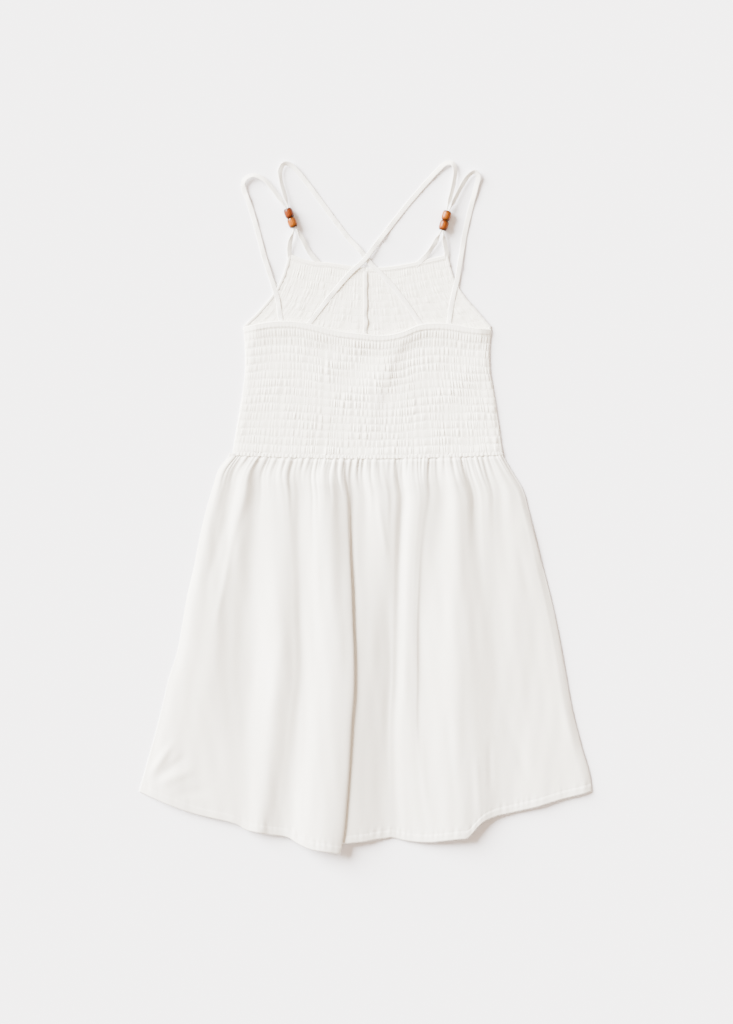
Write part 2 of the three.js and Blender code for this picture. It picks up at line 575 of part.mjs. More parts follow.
// One strap: from under the back hem over the shoulder, bunched through two beads, and on as a leg
// to the neckline. In the beads its neighbour runs beside it.
function strap({ name, beads, side, back, leg }) {
  const { middle, down } = BEAD_PAIRS[beads];
  const inBeads = BUNCHED.map(([along, apart]) => {
    const beside = (side * apart * (BUNCH_THICKNESS + GAP)) / 2;
    const x = middle[0] + down[0] * along - down[1] * beside;
    const y = middle[1] + down[1] * along + down[0] * beside;
    return [x, y, BEAD_RADIUS, 90, 1];
  });
  const rows = [...back, ...inBeads, ...leg];
  const curve = new THREE.CatmullRomCurve3(
    rows.map(([x, y, z]) => new THREE.Vector3(x, y, z)),
    false,
    'centripetal',
  );
  const places = rows.map((_, k) => k / (rows.length - 1));
  const rolls = rows.map((row) => row[3]);
  const bunched = rows.map((row) => row[4] ?? 0);
  const sizeAt = (t) => {
    const bunch = through(places, bunched, t);
    return {
      width: lerp(STRAP_WIDTH, BUNCH_WIDTH, bunch),
      thickness: lerp(STRAP_THICKNESS, BUNCH_THICKNESS, bunch),
      roll: through(places, rolls, t),
    };
  };
  return named(name, bar(sectionsAlong(curve, 2 * (rows.length - 1), sizeAt)), tapeCotton);
}

// A pair of turned beads, one behind the other along the straps that they gather.
function beadPair({ middle, down, names }) {
  const half = BEAD_LENGTH / 2;
  const profile = [
    [BEAD_HOLE, -half * 0.9], [BEAD_END_RADIUS, -half], [BEAD_RADIUS * 0.95, -half * 0.66],
    [BEAD_RADIUS, -half * 0.22], [BEAD_RADIUS, half * 0.22], [BEAD_RADIUS * 0.95, half * 0.66],
    [BEAD_END_RADIUS, half], [BEAD_HOLE, half * 0.9], [BEAD_HOLE, -half * 0.9],
  ].map(([radius, along]) => new THREE.Vector2(radius, along));
  const axis = new THREE.Vector3(down[0], down[1], 0);
  return names.map((name, k) => {
    const bead = named(name, new THREE.LatheGeometry(profile, BEAD_SIDES), beadWood);
    const along = (k - 0.5) * BEAD_SPACING;
    bead.quaternion.setFromUnitVectors(new THREE.Vector3(0, 1, 0), axis);
    bead.position.set(middle[0] + down[0] * along, middle[1] + down[1] * along, BEAD_RADIUS);
    return bead;
  });
}

const skirt = new THREE.Group();
skirt.add(skirtFront(), skirtBack());

const bodice = new THREE.Group();
bodice.add(bodiceFront(-1), bodiceFront(1), bodiceBack());
bodice.add(armholeBinding(-1), armholeBinding(1), seamAllowance());

const shoulder = new THREE.Group();
shoulder.add(...STRAPS.map(strap));
shoulder.add(...beadPair(BEAD_PAIRS.left), ...beadPair(BEAD_PAIRS.right));

const dress = new THREE.Group();
dress.add(skirt, bodice, shoulder);

export default dress;
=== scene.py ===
"""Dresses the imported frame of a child's cotton sundress, laid flat on its front with its back upward.

Sizes and places are millimetres in the frame's own axes: +X across the dress, +Y from hem to straps,
+Z up from the surface it lies on. The meshes themselves are stored in metres. Each panel is a thin
closed shell on the form of its solid, worked out on a grid whose rows run toward the hem.
"""

import logging
import math
from dataclasses import dataclass
from enum import Enum

import bpy
import numpy as np
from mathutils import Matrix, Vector


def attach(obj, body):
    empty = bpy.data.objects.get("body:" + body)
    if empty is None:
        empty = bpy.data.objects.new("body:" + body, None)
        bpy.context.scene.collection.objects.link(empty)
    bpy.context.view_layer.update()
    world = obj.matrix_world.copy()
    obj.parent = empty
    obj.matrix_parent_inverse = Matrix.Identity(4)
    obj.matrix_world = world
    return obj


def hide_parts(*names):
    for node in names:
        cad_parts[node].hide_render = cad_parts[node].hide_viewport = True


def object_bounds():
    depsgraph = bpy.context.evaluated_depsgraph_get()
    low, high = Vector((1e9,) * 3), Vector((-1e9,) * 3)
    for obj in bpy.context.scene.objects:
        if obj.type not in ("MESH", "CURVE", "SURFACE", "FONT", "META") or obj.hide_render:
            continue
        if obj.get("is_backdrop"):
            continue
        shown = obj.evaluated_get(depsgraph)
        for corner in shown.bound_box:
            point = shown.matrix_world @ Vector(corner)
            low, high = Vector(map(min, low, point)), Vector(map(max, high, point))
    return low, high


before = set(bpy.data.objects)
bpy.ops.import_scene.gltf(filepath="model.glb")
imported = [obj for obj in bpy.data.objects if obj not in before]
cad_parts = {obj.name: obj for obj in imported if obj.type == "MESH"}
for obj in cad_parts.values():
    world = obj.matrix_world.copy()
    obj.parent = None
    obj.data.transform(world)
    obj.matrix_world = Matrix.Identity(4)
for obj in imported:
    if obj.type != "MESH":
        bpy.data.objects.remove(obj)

Array = np.ndarray
Colour = tuple[float, float, float, float]

MM = 0.001
BODY = "root"
LOG = logging.getLogger("sundress")

# Sizes that the solids share
CLOTH = 1.3
GAP = 0.3
BACK_REST = CLOTH + GAP              # where the back's underside lies on the front
WAIST_Y = 55.0                       # of the waist seam's ends
WAIST_SAG = 4.0
WAIST_HALF = 146.3
BACK_RIBS = 15
FRONT_RIBS = 9
HEM_DEPTH = 6.0                      # of the bodice back's turned top hem
HEM_UNDERSIDE = 4.3                  # height of that hem, which stands on the straps
WAIST_MARGIN = 0.032                 # share of the bodice's back below the last stitched line
SLOPE_DEPTH = 16.0                   # way down from the hem to where the back lies on the front
STRAP_WIDTH = 5.0
STRAP_THICKNESS = 1.3
BUNCH_WIDTH = 3.2
BUNCH_THICKNESS = 1.8
BEAD_RADIUS = 4.8
BEAD_END_RADIUS = 3.9
BEAD_HOLE = 2.85
BEAD_LENGTH = 10.2
BEAD_SPACING = 10.7
BUNCHED = ((-12.8, 1.35), (-9, 1), (0, 1), (9, 1), (12.8, 1.35))   # along a bead pair, and how far apart
BINDING_WIDTH = 3.2
BINDING_HEIGHT = 2.4
NECK_HEM_SHARE = 0.055
SEAM_X = 0.5
FRONT_SHOWN_TO = 180.0               # y down to which the front's centre is shirred
SHOWN_SHARE = 0.5                    # of the front's grid rows
ALLOWANCE_TOP_Y = 252.0
ALLOWANCE_END_Y = 179.0
ALLOWANCE_WIDTH = 4.6
ALLOWANCE_HEIGHT = 1.3
TOP_SHARE = 0.07                     # share of the way down where the lift below the waist is reached
WAIST_LIFT = 1.2
WAIST_RELIEF = 0.22
FRONT_INSET = 1.0
FRONT_HEM_INSET = 4.0
LOW = STRAP_THICKNESS / 2            # a strap's middle where it lies on the floor
ON_FRONT = 3.35                      # the same on the dress's front
CROSSING = ON_FRONT + STRAP_THICKNESS + GAP
LEG_END = 0.85                       # where a strap's end is caught in the neck hem

# The skirt's ridges and valleys, one line each from waist to hem: x at the waist, halfway down and at
# the hem; y at the hem; lift off the front panel just below the waist, halfway down and at the hem.
FOLDS = np.array([
    (-144.2, -198, -240.1, -302.3, 0, 0, 0),
    (-138.9, -189.7, -227.9, -307.5, 2.4, 3.2, 2.2),
    (-132.5, -176, -206.7, -316.6, 0.9, 3.5, 3.2),
    (-125.1, -161.1, -179.1, -326, 0.3, 4.4, 3.6),
    (-115.5, -144.2, -140, -335.2, 4.9, 1.8, 3.4),
    (-104.9, -121.9, -126.1, -342.4, 0.7, 0.4, 3.8),
    (-92.2, -95.4, -113.4, -345.1, 4.1, 8.6, 6.8),
    (-79.5, -77.4, -100.7, -347.5, 6, 6.8, 4.6),
    (-66.8, -67.8, -82.7, -350.2, 3.2, 5.7, 4),
    (-54.1, -57.2, -71, -356.8, 5.1, 8.4, 7.4),
    (-45.6, -47.7, -58.3, -362.2, 8, 11.2, 11),
    (-37, -35, -46.6, -364.3, 9.4, 13.2, 13),
    (-29, -22.8, -36, -365.8, 6.2, 12.6, 12.8),
    (-21.5, -12.4, -26.5, -366.8, 4.4, 10.6, 9.4),
    (-14.6, -16.2, -29.7, -358, 1.2, 4, 3.8),
    (-9.6, -7.6, -20.1, -356.6, 1.5, 6.8, 6.6),
    (-2.6, 5.3, -3.2, -355.3, 0.6, 5.8, 4.6),
    (4.2, 17, 11.7, -352.8, 3.2, 3.2, 2.2),
    (15.9, 25.4, 20.5, -352, 4.6, 1.1, 0.9),
    (29.7, 30.2, 28, -350.8, 3.2, 0.9, 0.4),
    (38.6, 35.8, 35.5, -352.5, 0.4, 0.5, 0.4),
    (46.6, 43.5, 44.5, -354.3, 5, 2.9, 1.8),
    (54.1, 49.8, 57.2, -355.6, 6.3, 3, 3.5),
    (60.9, 55.1, 70, -355.7, 5.8, 2.4, 4.9),
    (67.8, 61.4, 79.5, -354.6, 4.7, 1.3, 5.9),
    (79.5, 80.6, 92.2, -353, 3, 5.4, 7.6),
    (90.1, 96.5, 101.8, -351.8, 7, 9.2, 8.2),
    (97.5, 110.2, 109.2, -350.4, 5.9, 8.4, 7.6),
    (104.9, 124, 124, -335, 2.3, 6.4, 5.6),
    (111.3, 133.6, 138.9, -328.3, 2.8, 4.9, 3),
    (117.1, 141, 151.6, -325.4, 2.8, 3.7, 2.4),
    (123, 149.5, 168.5, -321.5, 1.9, 3.1, 2.2),
    (129.3, 161.1, 183.4, -318, 1.1, 2.8, 2.2),
    (135.2, 178.1, 206.7, -310.9, 2.4, 1.8, 2),
    (139.9, 196.1, 225.8, -306, 1.7, 1.6, 1.5),
    (143.1, 202.5, 234.3, -303.8, 1.1, 1, 1.2),
    (146.3, 207.2, 240.6, -302.1, 0, 0, 0),
])
UNDER_FLAPS = (14, 19)              # rows of the table that lie hidden under a flap's edge

# The deeper gathers' valleys: x at the waist seam, depth, half width and length down the skirt
GATHERS = np.array([
    (-130.4, 1.3, 1.8, 30), (-121, 0.7, 1.3, 16), (-111.3, 1.5, 3.0, 44), (-99, 0.6, 1.2, 12),
    (-91.2, 1.3, 1.9, 30), (-83.5, 0.7, 1.2, 18), (-75.3, 1.5, 2.1, 46), (-64.5, 0.8, 1.4, 16),
    (-55.1, 1.2, 1.6, 26), (-45, 0.7, 1.2, 14), (-36, 1.7, 2.2, 60), (-28.5, 0.7, 1.2, 12),
    (-20.1, 1.4, 1.7, 34), (-12.1, 1.5, 1.8, 36), (-6.5, 0.7, 1.1, 13), (-1.1, 1.2, 1.5, 22),
    (6.4, 1.3, 1.6, 32), (15.9, 1.3, 1.7, 26), (21, 0.7, 1.1, 14), (26.5, 1.4, 1.8, 42),
    (33.5, 0.7, 1.2, 13), (40.3, 1.2, 1.6, 30), (47, 0.6, 1.2, 14), (53, 1.1, 1.5, 24),
    (61, 0.7, 1.3, 15), (68.9, 1.5, 2.1, 44), (77, 0.6, 1.2, 12), (85, 0.8, 1.3, 18),
    (92.2, 1.3, 1.7, 30), (102.8, 1.5, 1.7, 34), (110.2, 1.3, 1.5, 30), (115.5, 1.1, 1.3, 24),
    (120.6, 0.6, 1.1, 12), (126.1, 1.4, 1.7, 36), (133.4, 0.8, 1.3, 20), (138.8, 0.8, 1.3, 24),
])

# Small creases that cross or ride on the folds: x, y where each starts and ends, half width, height
CREASES = np.array([
    (-230, -287, -201, -247, 3.6, 1.6),
    (-227, -292, -186, -262, 4.0, -1.2),
    (-221, -294, -178, -277, 4.0, 1.2),
    (-206, -305, -160, -300, 5.0, -0.7),
    (-134, 0, -161, -139, 3.5, 0.7),
    (-141, 8, -172, -96, 5.0, -0.5),
    (-118, 20, -150, -70, 5.5, -0.6),
    (168, 3, 192, -75, 3.5, 0.7),
    (160, -30, 178, -110, 5.0, -0.5),
    (117, -258, 121, -334, 3.6, 0.6),
    (132, -240, 133, -310, 3.5, -0.5),
    (-60, -180, -66, -300, 4.0, -0.5),
    (86, -200, 96, -330, 5.0, -0.6),
    (58, -220, 66, -335, 4.0, 0.5),
    (12, 20, 24, -60, 3.0, 0.6),
    (150, -220, 176, -300, 6.0, -0.5),
    (206, -190, 226, -270, 5.0, 0.5),
    (-176, -180, -150, -300, 7.0, -0.5),
    (-88, -120, -104, -250, 6.0, 0.5),
])


class Run(Enum):
    """The axis along which an outline is followed."""

    ACROSS = 0
    DOWN = 1


class Slot(Enum):
    """Material slots of the record."""

    PLAIN = "cotton_plain"
    SHIRRED = "cotton_shirred"
    TAPE = "cotton_tape"
    WOOD = "bead_wood"


def ease(share: Array) -> Array:
    """Three squares less two cubes of a share that is held between 0 and 1."""
    held = np.clip(share, 0, 1)
    return held * held * (3 - 2 * held)


def bell(at: Array) -> Array:
    """e to the minus square of a place: 1 in the middle, under 0.02 from 2 on."""
    return np.exp(-at ** 2)


def between(first: Array, last: Array, share: Array) -> Array:
    """A share of the way from the first value to the last."""
    return first + (last - first) * share


def smooth_line(at: Array, places: Array, values: Array) -> Array:
    """Cubic curve through values at places: two Hermite ends whose slopes are the neighbours' slopes.

    Args:
        at: where the curve is wanted, any shape.
        places: rising places of the known values.
        values: one known value for each place.

    Returns:
        The curve's value at each wanted place.
    """
    slopes = np.gradient(values, places)
    k = np.clip(np.searchsorted(places, at) - 1, 0, len(places) - 2)
    step = places[k + 1] - places[k]
    t = np.clip((at - places[k]) / step, 0, 1)
    rise = ease(t)
    lead = t * (1 - t) ** 2 * step * slopes[k]
    trail = t * t * (t - 1) * step * slopes[k + 1]
    return values[k] * (1 - rise) + values[k + 1] * rise + lead + trail


@dataclass(frozen=True)
class Outline:
    """A smooth edge line through a few points, followed along one axis."""

    points: tuple[tuple[float, float], ...]
    run: Run

    def at(self, share: Array) -> Array:
        """Point of the line at a share of its run: the run is even, the other axis is the curve.

        Args:
            share: shares of the way from the first point to the last.

        Returns:
            Points, one x, y pair for each share.
        """
        share = np.asarray(share, float)
        points = np.array(self.points, float)
        axis = self.run.value
        first, last = points[0, axis], points[-1, axis]
        sign = 1 if last > first else -1
        target = between(first, last, share)
        result = np.empty(share.shape + (2,))
        result[..., axis] = target
        result[..., 1 - axis] = smooth_line(sign * target, sign * points[:, axis], points[:, 1 - axis])
        return result

    def height(self, x: Array) -> Array:
        """The y of a line that runs across, at each x."""
        first, last = self.points[0][0], self.points[-1][0]
        return self.at((np.asarray(x, float) - first) / (last - first))[..., 1]

    def moved(self, distance: float) -> "Outline":
        """The same line moved sideways, to its left as it runs if the distance is positive.

        Args:
            distance: how far each point moves square to the chord of its neighbours.

        Returns:
            The moved line.
        """
        points = np.array(self.points, float)
        before = points[np.maximum(np.arange(len(points)) - 1, 0)]
        after = points[np.minimum(np.arange(len(points)) + 1, len(points) - 1)]
        chord = after - before
        chord /= np.linalg.norm(chord, axis=1, keepdims=True)
        shifted = points + distance * np.stack([-chord[:, 1], chord[:, 0]], axis=1)
        return Outline(tuple(map(tuple, shifted)), self.run)


BODICE_LEFT = Outline((
    (-129.3, 191.4), (-127.4, 166), (-127.6, 142), (-131.4, 113), (-136.7, 82), (-141, WAIST_Y),
), Run.DOWN)
BODICE_RIGHT = Outline((
    (134.2, 188.9), (132.3, 164), (133.2, 142), (137.8, 116), (142.2, 86), (146.3, WAIST_Y),
), Run.DOWN)
BACK_TOP = Outline((
    (-129.3, 191.4), (-97.5, 197.2), (-74.2, 197.2), (-55.4, 193.6), (-33.9, 188.2), (-6.4, 184.4),
    (21.2, 182.6), (39.2, 186.2), (57.7, 193.6), (75.9, 195.6), (112.4, 191), (134.2, 188.9),
), Run.ACROSS)
FRONT_NECK = Outline((
    (-80.6, 269.2), (-62.5, 262.9), (-33.9, 259.2), (3.2, 254.4), (39.2, 257.6), (66.8, 263.6), (88, 268.6),
), Run.ACROSS)
ARMHOLE_LEFT = Outline((
    (-80.6, 269.2), (-84.3, 255.5), (-90.1, 239.6), (-99.6, 223.7), (-114, 206.7), (-128.8, 192.4),
), Run.DOWN)
ARMHOLE_RIGHT = Outline((
    (88, 268.6), (92.2, 251), (97, 238), (107.1, 222.6), (119.4, 208.6), (133.4, 192.2),
), Run.DOWN)
SKIRT_LEFT = Outline((
    (-144.2, WAIST_Y), (-155, 41), (-161.4, 22), (-168, 0), (-176.1, -34), (-182.5, -67), (-189.1, -95),
    (-194, -124), (-200.4, -157), (-209, -184), (-215.2, -211), (-223.1, -242), (-231.3, -271),
    (-240.1, -302.3),
), Run.DOWN)
SKIRT_RIGHT = Outline((
    (146.3, WAIST_Y), (156.9, 37), (167.1, 20), (173.8, -3), (182.3, -37), (189.1, -64), (197.5, -97),
    (204.3, -128), (212.6, -173), (220, -214), (229, -250), (240, -292), (240.6, -302.1),
), Run.DOWN)


def waist_y(x: Array) -> Array:
    """Height of the waist seam: a parabola that sags in the middle."""
    return WAIST_Y - WAIST_SAG * (1 - (x / WAIST_HALF) ** 2)


def patch(left: Array, right: Array, top: Array, bottom: Array, rows: Array) -> Array:
    """Surface between four edge lines: straight across, then moved by what the top and bottom differ.

    Args:
        left: points of the left edge, one for each row.
        right: points of the right edge, one for each row.
        top: points of the top edge, one for each column.
        bottom: points of the bottom edge, one for each column.
        rows: share of the way down at each row.

    Returns:
        A grid of x, y points, rows by columns.
    """
    across = np.linspace(0, 1, len(top))[:, None]
    straight = left[:, None] * (1 - across) + right[:, None] * across
    above = top - (left[0] * (1 - across) + right[0] * across)
    below = bottom - (left[-1] * (1 - across) + right[-1] * across)
    down = rows[:, None, None]
    return straight + (1 - down) * above + down * below


def along_columns(controls: Array, steps: int) -> Array:
    """Smooth columns between control lines: a uniform Catmull-Rom curve through each row's controls.

    Args:
        controls: rows by lines by axes.
        steps: columns from one line to the next.

    Returns:
        The finer grid, with the control lines in it.
    """
    count = controls.shape[1]
    places = np.linspace(0, count - 1, (count - 1) * steps + 1)
    k = np.minimum(places.astype(int), count - 2)
    t = (places - k)[None, :, None]
    a, b, c, d = (controls[:, np.clip(k + n, 0, count - 1)] for n in (-1, 0, 1, 2))
    bend = 2 * a - 5 * b + 4 * c - d
    twist = 3 * b - a - 3 * c + d
    return 0.5 * (2 * b + (c - a) * t + bend * t ** 2 + twist * t ** 3)


def unit(vectors: Array) -> Array:
    """Vectors divided by their lengths."""
    return vectors / np.maximum(np.linalg.norm(vectors, axis=-1, keepdims=True), 1e-9)


def run_length(points: Array) -> Array:
    """Length of a line of points up to each of them."""
    return np.concatenate([[0], np.cumsum(np.linalg.norm(np.diff(points, axis=0), axis=1))])


def normals(grid: Array) -> Array:
    """Upward unit normals of a grid: the step down its rows crossed with the step across its columns."""
    return unit(np.cross(np.gradient(grid, axis=0), np.gradient(grid, axis=1)))


class Ripples:
    """Soft seeded unevenness over two coordinates, as a sum of sine waves."""

    def __init__(self, seed: int, across: tuple[float, float], down: tuple[float, float], count: int = 9):
        """Draws the waves.

        Args:
            seed: of the random draws.
            across: shortest and longest wave along the first coordinate.
            down: shortest and longest wave along the second.
            count: of waves.
        """
        rng = np.random.default_rng(seed)
        sign = rng.choice((-1, 1), count)
        self.waves = np.stack([
            sign / rng.uniform(*across, count),
            1 / rng.uniform(*down, count),
            rng.uniform(0, 1, count),
        ])
        self.share = math.sqrt(2 / count)

    def at(self, u: Array, v: Array) -> Array:
        """The sum of the sines of u and v over their wave lengths plus a phase, near -1 to 1."""
        phase = self.waves[0] * u[..., None] + self.waves[1] * v[..., None] + self.waves[2]
        return np.sin(2 * np.pi * phase).sum(-1) * self.share

    def over(self, points: Array) -> Array:
        """The same at the x and y of points."""
        return self.at(points[..., 0], points[..., 1])


@dataclass
class Puckers:
    """The small gathers that elastic thread draws across a shirred panel, one irregular row each."""

    seed: int
    rows: int
    width: float
    pitch: float = 3.3
    drift: float = 1.1
    keep: float = 0.2

    def heights(self, at: Array) -> Array:
        """Heights near -1 to 1 along each row: turning points up and down in turn, joined by cosines.

        The turning points of a row are those of the row above, drifted a little, so a gather runs on
        through several rows and then fades into another.

        Args:
            at: places across the panel.

        Returns:
            Rows by places.
        """
        rng = np.random.default_rng(self.seed)
        count = int(self.width / self.pitch * 2) + 8
        steps = self.pitch / 2 * rng.uniform(0.62, 1.42, count)
        nodes = np.cumsum(steps) - 3 * self.pitch
        sizes = rng.uniform(0.2, 1.1, count)
        turns = np.where(np.arange(count) % 2 == 0, 1.0, -1.0)
        result = np.empty((self.rows, len(at)))
        for row in range(self.rows):
            k = np.clip(np.searchsorted(nodes, at) - 1, 0, count - 2)
            t = np.clip((at - nodes[k]) / (nodes[k + 1] - nodes[k]), 0, 1)
            swing = 0.5 - 0.5 * np.cos(np.pi * t)
            peaks = turns * sizes
            swing = 0.55 * swing + 0.45 * t
            result[row] = peaks[k] * (1 - swing) + peaks[k + 1] * swing
            nodes = np.sort(nodes + rng.normal(0, self.drift * self.pitch / 2, count))
            sizes = self.keep * sizes + (1 - self.keep) * rng.uniform(0.1, 1.25, count)
        return result


@dataclass(frozen=True)
class Shirring:
    """Relief of a shirred panel between its rows of elastic stitching."""

    rib_height: float = 0.48
    pucker_height: float = 0.34
    held: float = 0.15               # share of the pucker that is left in a stitched line

    def relief(self, ribs: Array, puckers: Array) -> Array:
        """A puffed rib, a low power of a sine between two stitched lines, plus its puckers.

        Args:
            ribs: for each grid row, the rib's number plus the share of the way down in it.
            puckers: heights along each rib.

        Returns:
            Height above the plain cloth, rows by columns.
        """
        count = len(puckers)
        own = np.clip(np.floor(ribs).astype(int), 0, count - 1)
        share = np.clip(ribs - own, 0, 1)
        puff = np.sin(np.pi * share) ** 0.45
        near = np.clip(own + np.where(share < 0.5, -1, 1), 0, count - 1)
        mix = 0.5 * np.abs(2 * share - 1) ** 5
        ripple = puckers[own] * (1 - mix[:, None]) + puckers[near] * mix[:, None]
        strength = self.held + (1 - self.held) * puff
        return self.rib_height * puff[:, None] + self.pucker_height * strength[:, None] * ripple


def placed(name: str, data: object) -> bpy.types.Object:
    """A new object in the scene, at the origin."""
    result = bpy.data.objects.new(name, data)
    bpy.context.scene.collection.objects.link(result)
    return result


def store_mesh(name: str, points: Array, quads: Array, triangles: Array, uv: Array) -> bpy.types.Object:
    """Makes a smooth shaded mesh object from whole arrays.

    Args:
        name: of the object.
        points: in millimetres.
        quads: four point numbers a face.
        triangles: three point numbers a face.
        uv: one pair for each point, in metres of cloth.

    Returns:
        The object, linked to the scene.
    """
    mesh = bpy.data.meshes.new(name)
    mesh.vertices.add(len(points))
    mesh.vertices.foreach_set("co", (points * MM).astype(np.float32).ravel())
    corners = np.concatenate([quads.ravel(), triangles.ravel()]).astype(np.int32)
    sizes = np.concatenate([np.full(len(quads), 4), np.full(len(triangles), 3)])
    mesh.loops.add(len(corners))
    mesh.loops.foreach_set("vertex_index", corners)
    mesh.polygons.add(len(sizes))
    starts = np.concatenate([[0], np.cumsum(sizes)[:-1]]).astype(np.int32)
    mesh.polygons.foreach_set("loop_start", starts)
    layer = mesh.uv_layers.new(name="cloth")
    layer.data.foreach_set("uv", uv[corners].astype(np.float32).ravel())
    mesh.update(calc_edges=True)
    mesh.validate()
    mesh.shade_smooth()
    return placed(name, mesh)


def grid_quads(numbers: Array) -> Array:
    """Quads of a grid of point numbers, facing up where rows run toward -Y and columns toward +X."""
    corners = numbers[:-1, :-1], numbers[1:, :-1], numbers[1:, 1:], numbers[:-1, 1:]
    return np.stack(corners, axis=-1).reshape(-1, 4)


@dataclass
class Shell:
    """A closed thin sheet: a relief on top, a plainer and coarser underside, and rounded edges."""

    middle: Array
    half: Array
    relief: Array
    under_step: int = 4

    def __post_init__(self) -> None:
        """Works out the upper surface and the cloth's own coordinates."""
        self.normals = normals(self.middle)
        rim = np.ones(self.half.shape)
        rim[[0, -1], :] = 0
        rim[:, [0, -1]] = 0
        self.top = self.middle + self.normals * ((self.half + self.relief) * rim)[..., None]
        half_way = self.middle.shape[1] // 2
        u, v = (run_length(line) * MM for line in (self.middle[-1], self.middle[:, half_way]))
        self.uv = np.stack(np.meshgrid(u, -v), axis=-1)

    def ring(self, edge: Array, inner: Array, places: Array, forward: bool) -> Array:
        """Triangles between one fine edge of the sheet and the nearest line of the coarse underside.

        Args:
            edge: point numbers along the edge.
            inner: point numbers along the coarse line.
            places: where along the edge each point of the coarse line stands.
            forward: whether the faces turn with the edge's order.

        Returns:
            Three point numbers a face.
        """
        middles = np.arange(len(edge) - 1) + 0.5
        near = np.abs(places[None, :] - middles[:, None]).argmin(1)
        fans = np.stack([edge[:-1], edge[1:], inner[near]], axis=1)
        turns = np.searchsorted(near, np.arange(1, len(inner)))
        gaps = np.stack([inner[:-1], edge[turns], inner[1:]], axis=1)
        faces = np.concatenate([fans, gaps])
        return faces if forward else faces[:, ::-1]

    def piece(self, name: str) -> bpy.types.Object:
        """Builds the mesh: the upper grid, the coarse lower grid and the rings that close the edges."""
        rows, columns = self.half.shape
        numbers = np.arange(rows * columns).reshape(rows, columns)
        i = np.arange(self.under_step, rows - 1, self.under_step)
        j = np.arange(self.under_step, columns - 1, self.under_step)
        pick = np.ix_(i, j)
        low = (self.middle - self.normals * self.half[..., None])[pick]
        under = rows * columns + np.arange(len(i) * len(j)).reshape(len(i), len(j))
        triangles = np.concatenate([
            self.ring(numbers[:, 0], under[:, 0], i, False),
            self.ring(numbers[-1, :], under[-1, :], j, False),
            self.ring(numbers[:, -1], under[:, -1], i, True),
            self.ring(numbers[0, :], under[0, :], j, True),
        ])
        quads = np.concatenate([grid_quads(numbers), grid_quads(under)[:, ::-1]])
        points = np.concatenate([self.top.reshape(-1, 3), low.reshape(-1, 3)])
        uv = np.concatenate([self.uv.reshape(-1, 2), self.uv[pick].reshape(-1, 2)])
        return store_mesh(name, points, quads, triangles, uv)

    def sample(self, row: Array, column: Array) -> tuple[Array, Array]:
        """Points and normals of the upper surface between grid points, weighted by nearness.

        Args:
            row: row numbers with their fractions.
            column: column numbers with their fractions.

        Returns:
            Points and unit normals.
        """
        rows, columns = self.half.shape
        i = np.clip(row.astype(int), 0, rows - 2)
        j = np.clip(column.astype(int), 0, columns - 2)
        s, t = (row - i)[:, None], (column - j)[:, None]
        values = []
        for grid in (self.top, self.normals):
            above = grid[i, j] * (1 - t) + grid[i, j + 1] * t
            below = grid[i + 1, j] * (1 - t) + grid[i + 1, j + 1] * t
            values.append(above * (1 - s) + below * s)
        return values[0], unit(values[1])


@dataclass
class Sweep:
    """A closed soft bar: a rounded section carried along a path."""

    path: Array
    across: Array                    # half width vectors
    thick: Array                     # half thickness vectors
    sides: int = 16
    squareness: float = 0.45         # 1 is an ellipse, less is closer to a rectangle
    end_taper: float = 0.55

    def piece(self, name: str) -> bpy.types.Object:
        """Point = path + across times a squared cosine + thick times a squared sine, with domed ends."""
        angle = np.linspace(0, 2 * np.pi, self.sides, endpoint=False)
        wide = np.sign(np.cos(angle)) * np.abs(np.cos(angle)) ** self.squareness
        high = np.sign(np.sin(angle)) * np.abs(np.sin(angle)) ** self.squareness
        count = len(self.path)
        taper = np.ones(count)
        taper[[0, -1]] = self.end_taper
        rings = (
            self.path[:, None]
            + self.across[:, None] * (wide[:, None] * taper[:, None, None])
            + self.thick[:, None] * (high[:, None] * taper[:, None, None])
        )
        numbers = np.arange(count * self.sides).reshape(count, self.sides)
        loop = np.concatenate([numbers, numbers[:, :1]], axis=1)
        first, last = count * self.sides, count * self.sides + 1
        start = np.stack([np.full(self.sides, first), loop[0, 1:], loop[0, :-1]], axis=1)
        end = np.stack([np.full(self.sides, last), loop[-1, :-1], loop[-1, 1:]], axis=1)
        points = np.concatenate([rings.reshape(-1, 3), self.path[[0, -1]]])
        along = run_length(self.path)
        around = angle / (2 * np.pi) * 2 * np.linalg.norm(self.across, axis=1).mean() * 2.6
        uv = np.stack(np.meshgrid(around, along), axis=-1).reshape(-1, 2)
        uv = np.concatenate([uv, [[0, along[0]], [0, along[-1]]]]) * MM
        return store_mesh(name, points, grid_quads(loop.T), np.concatenate([start, end]), uv)


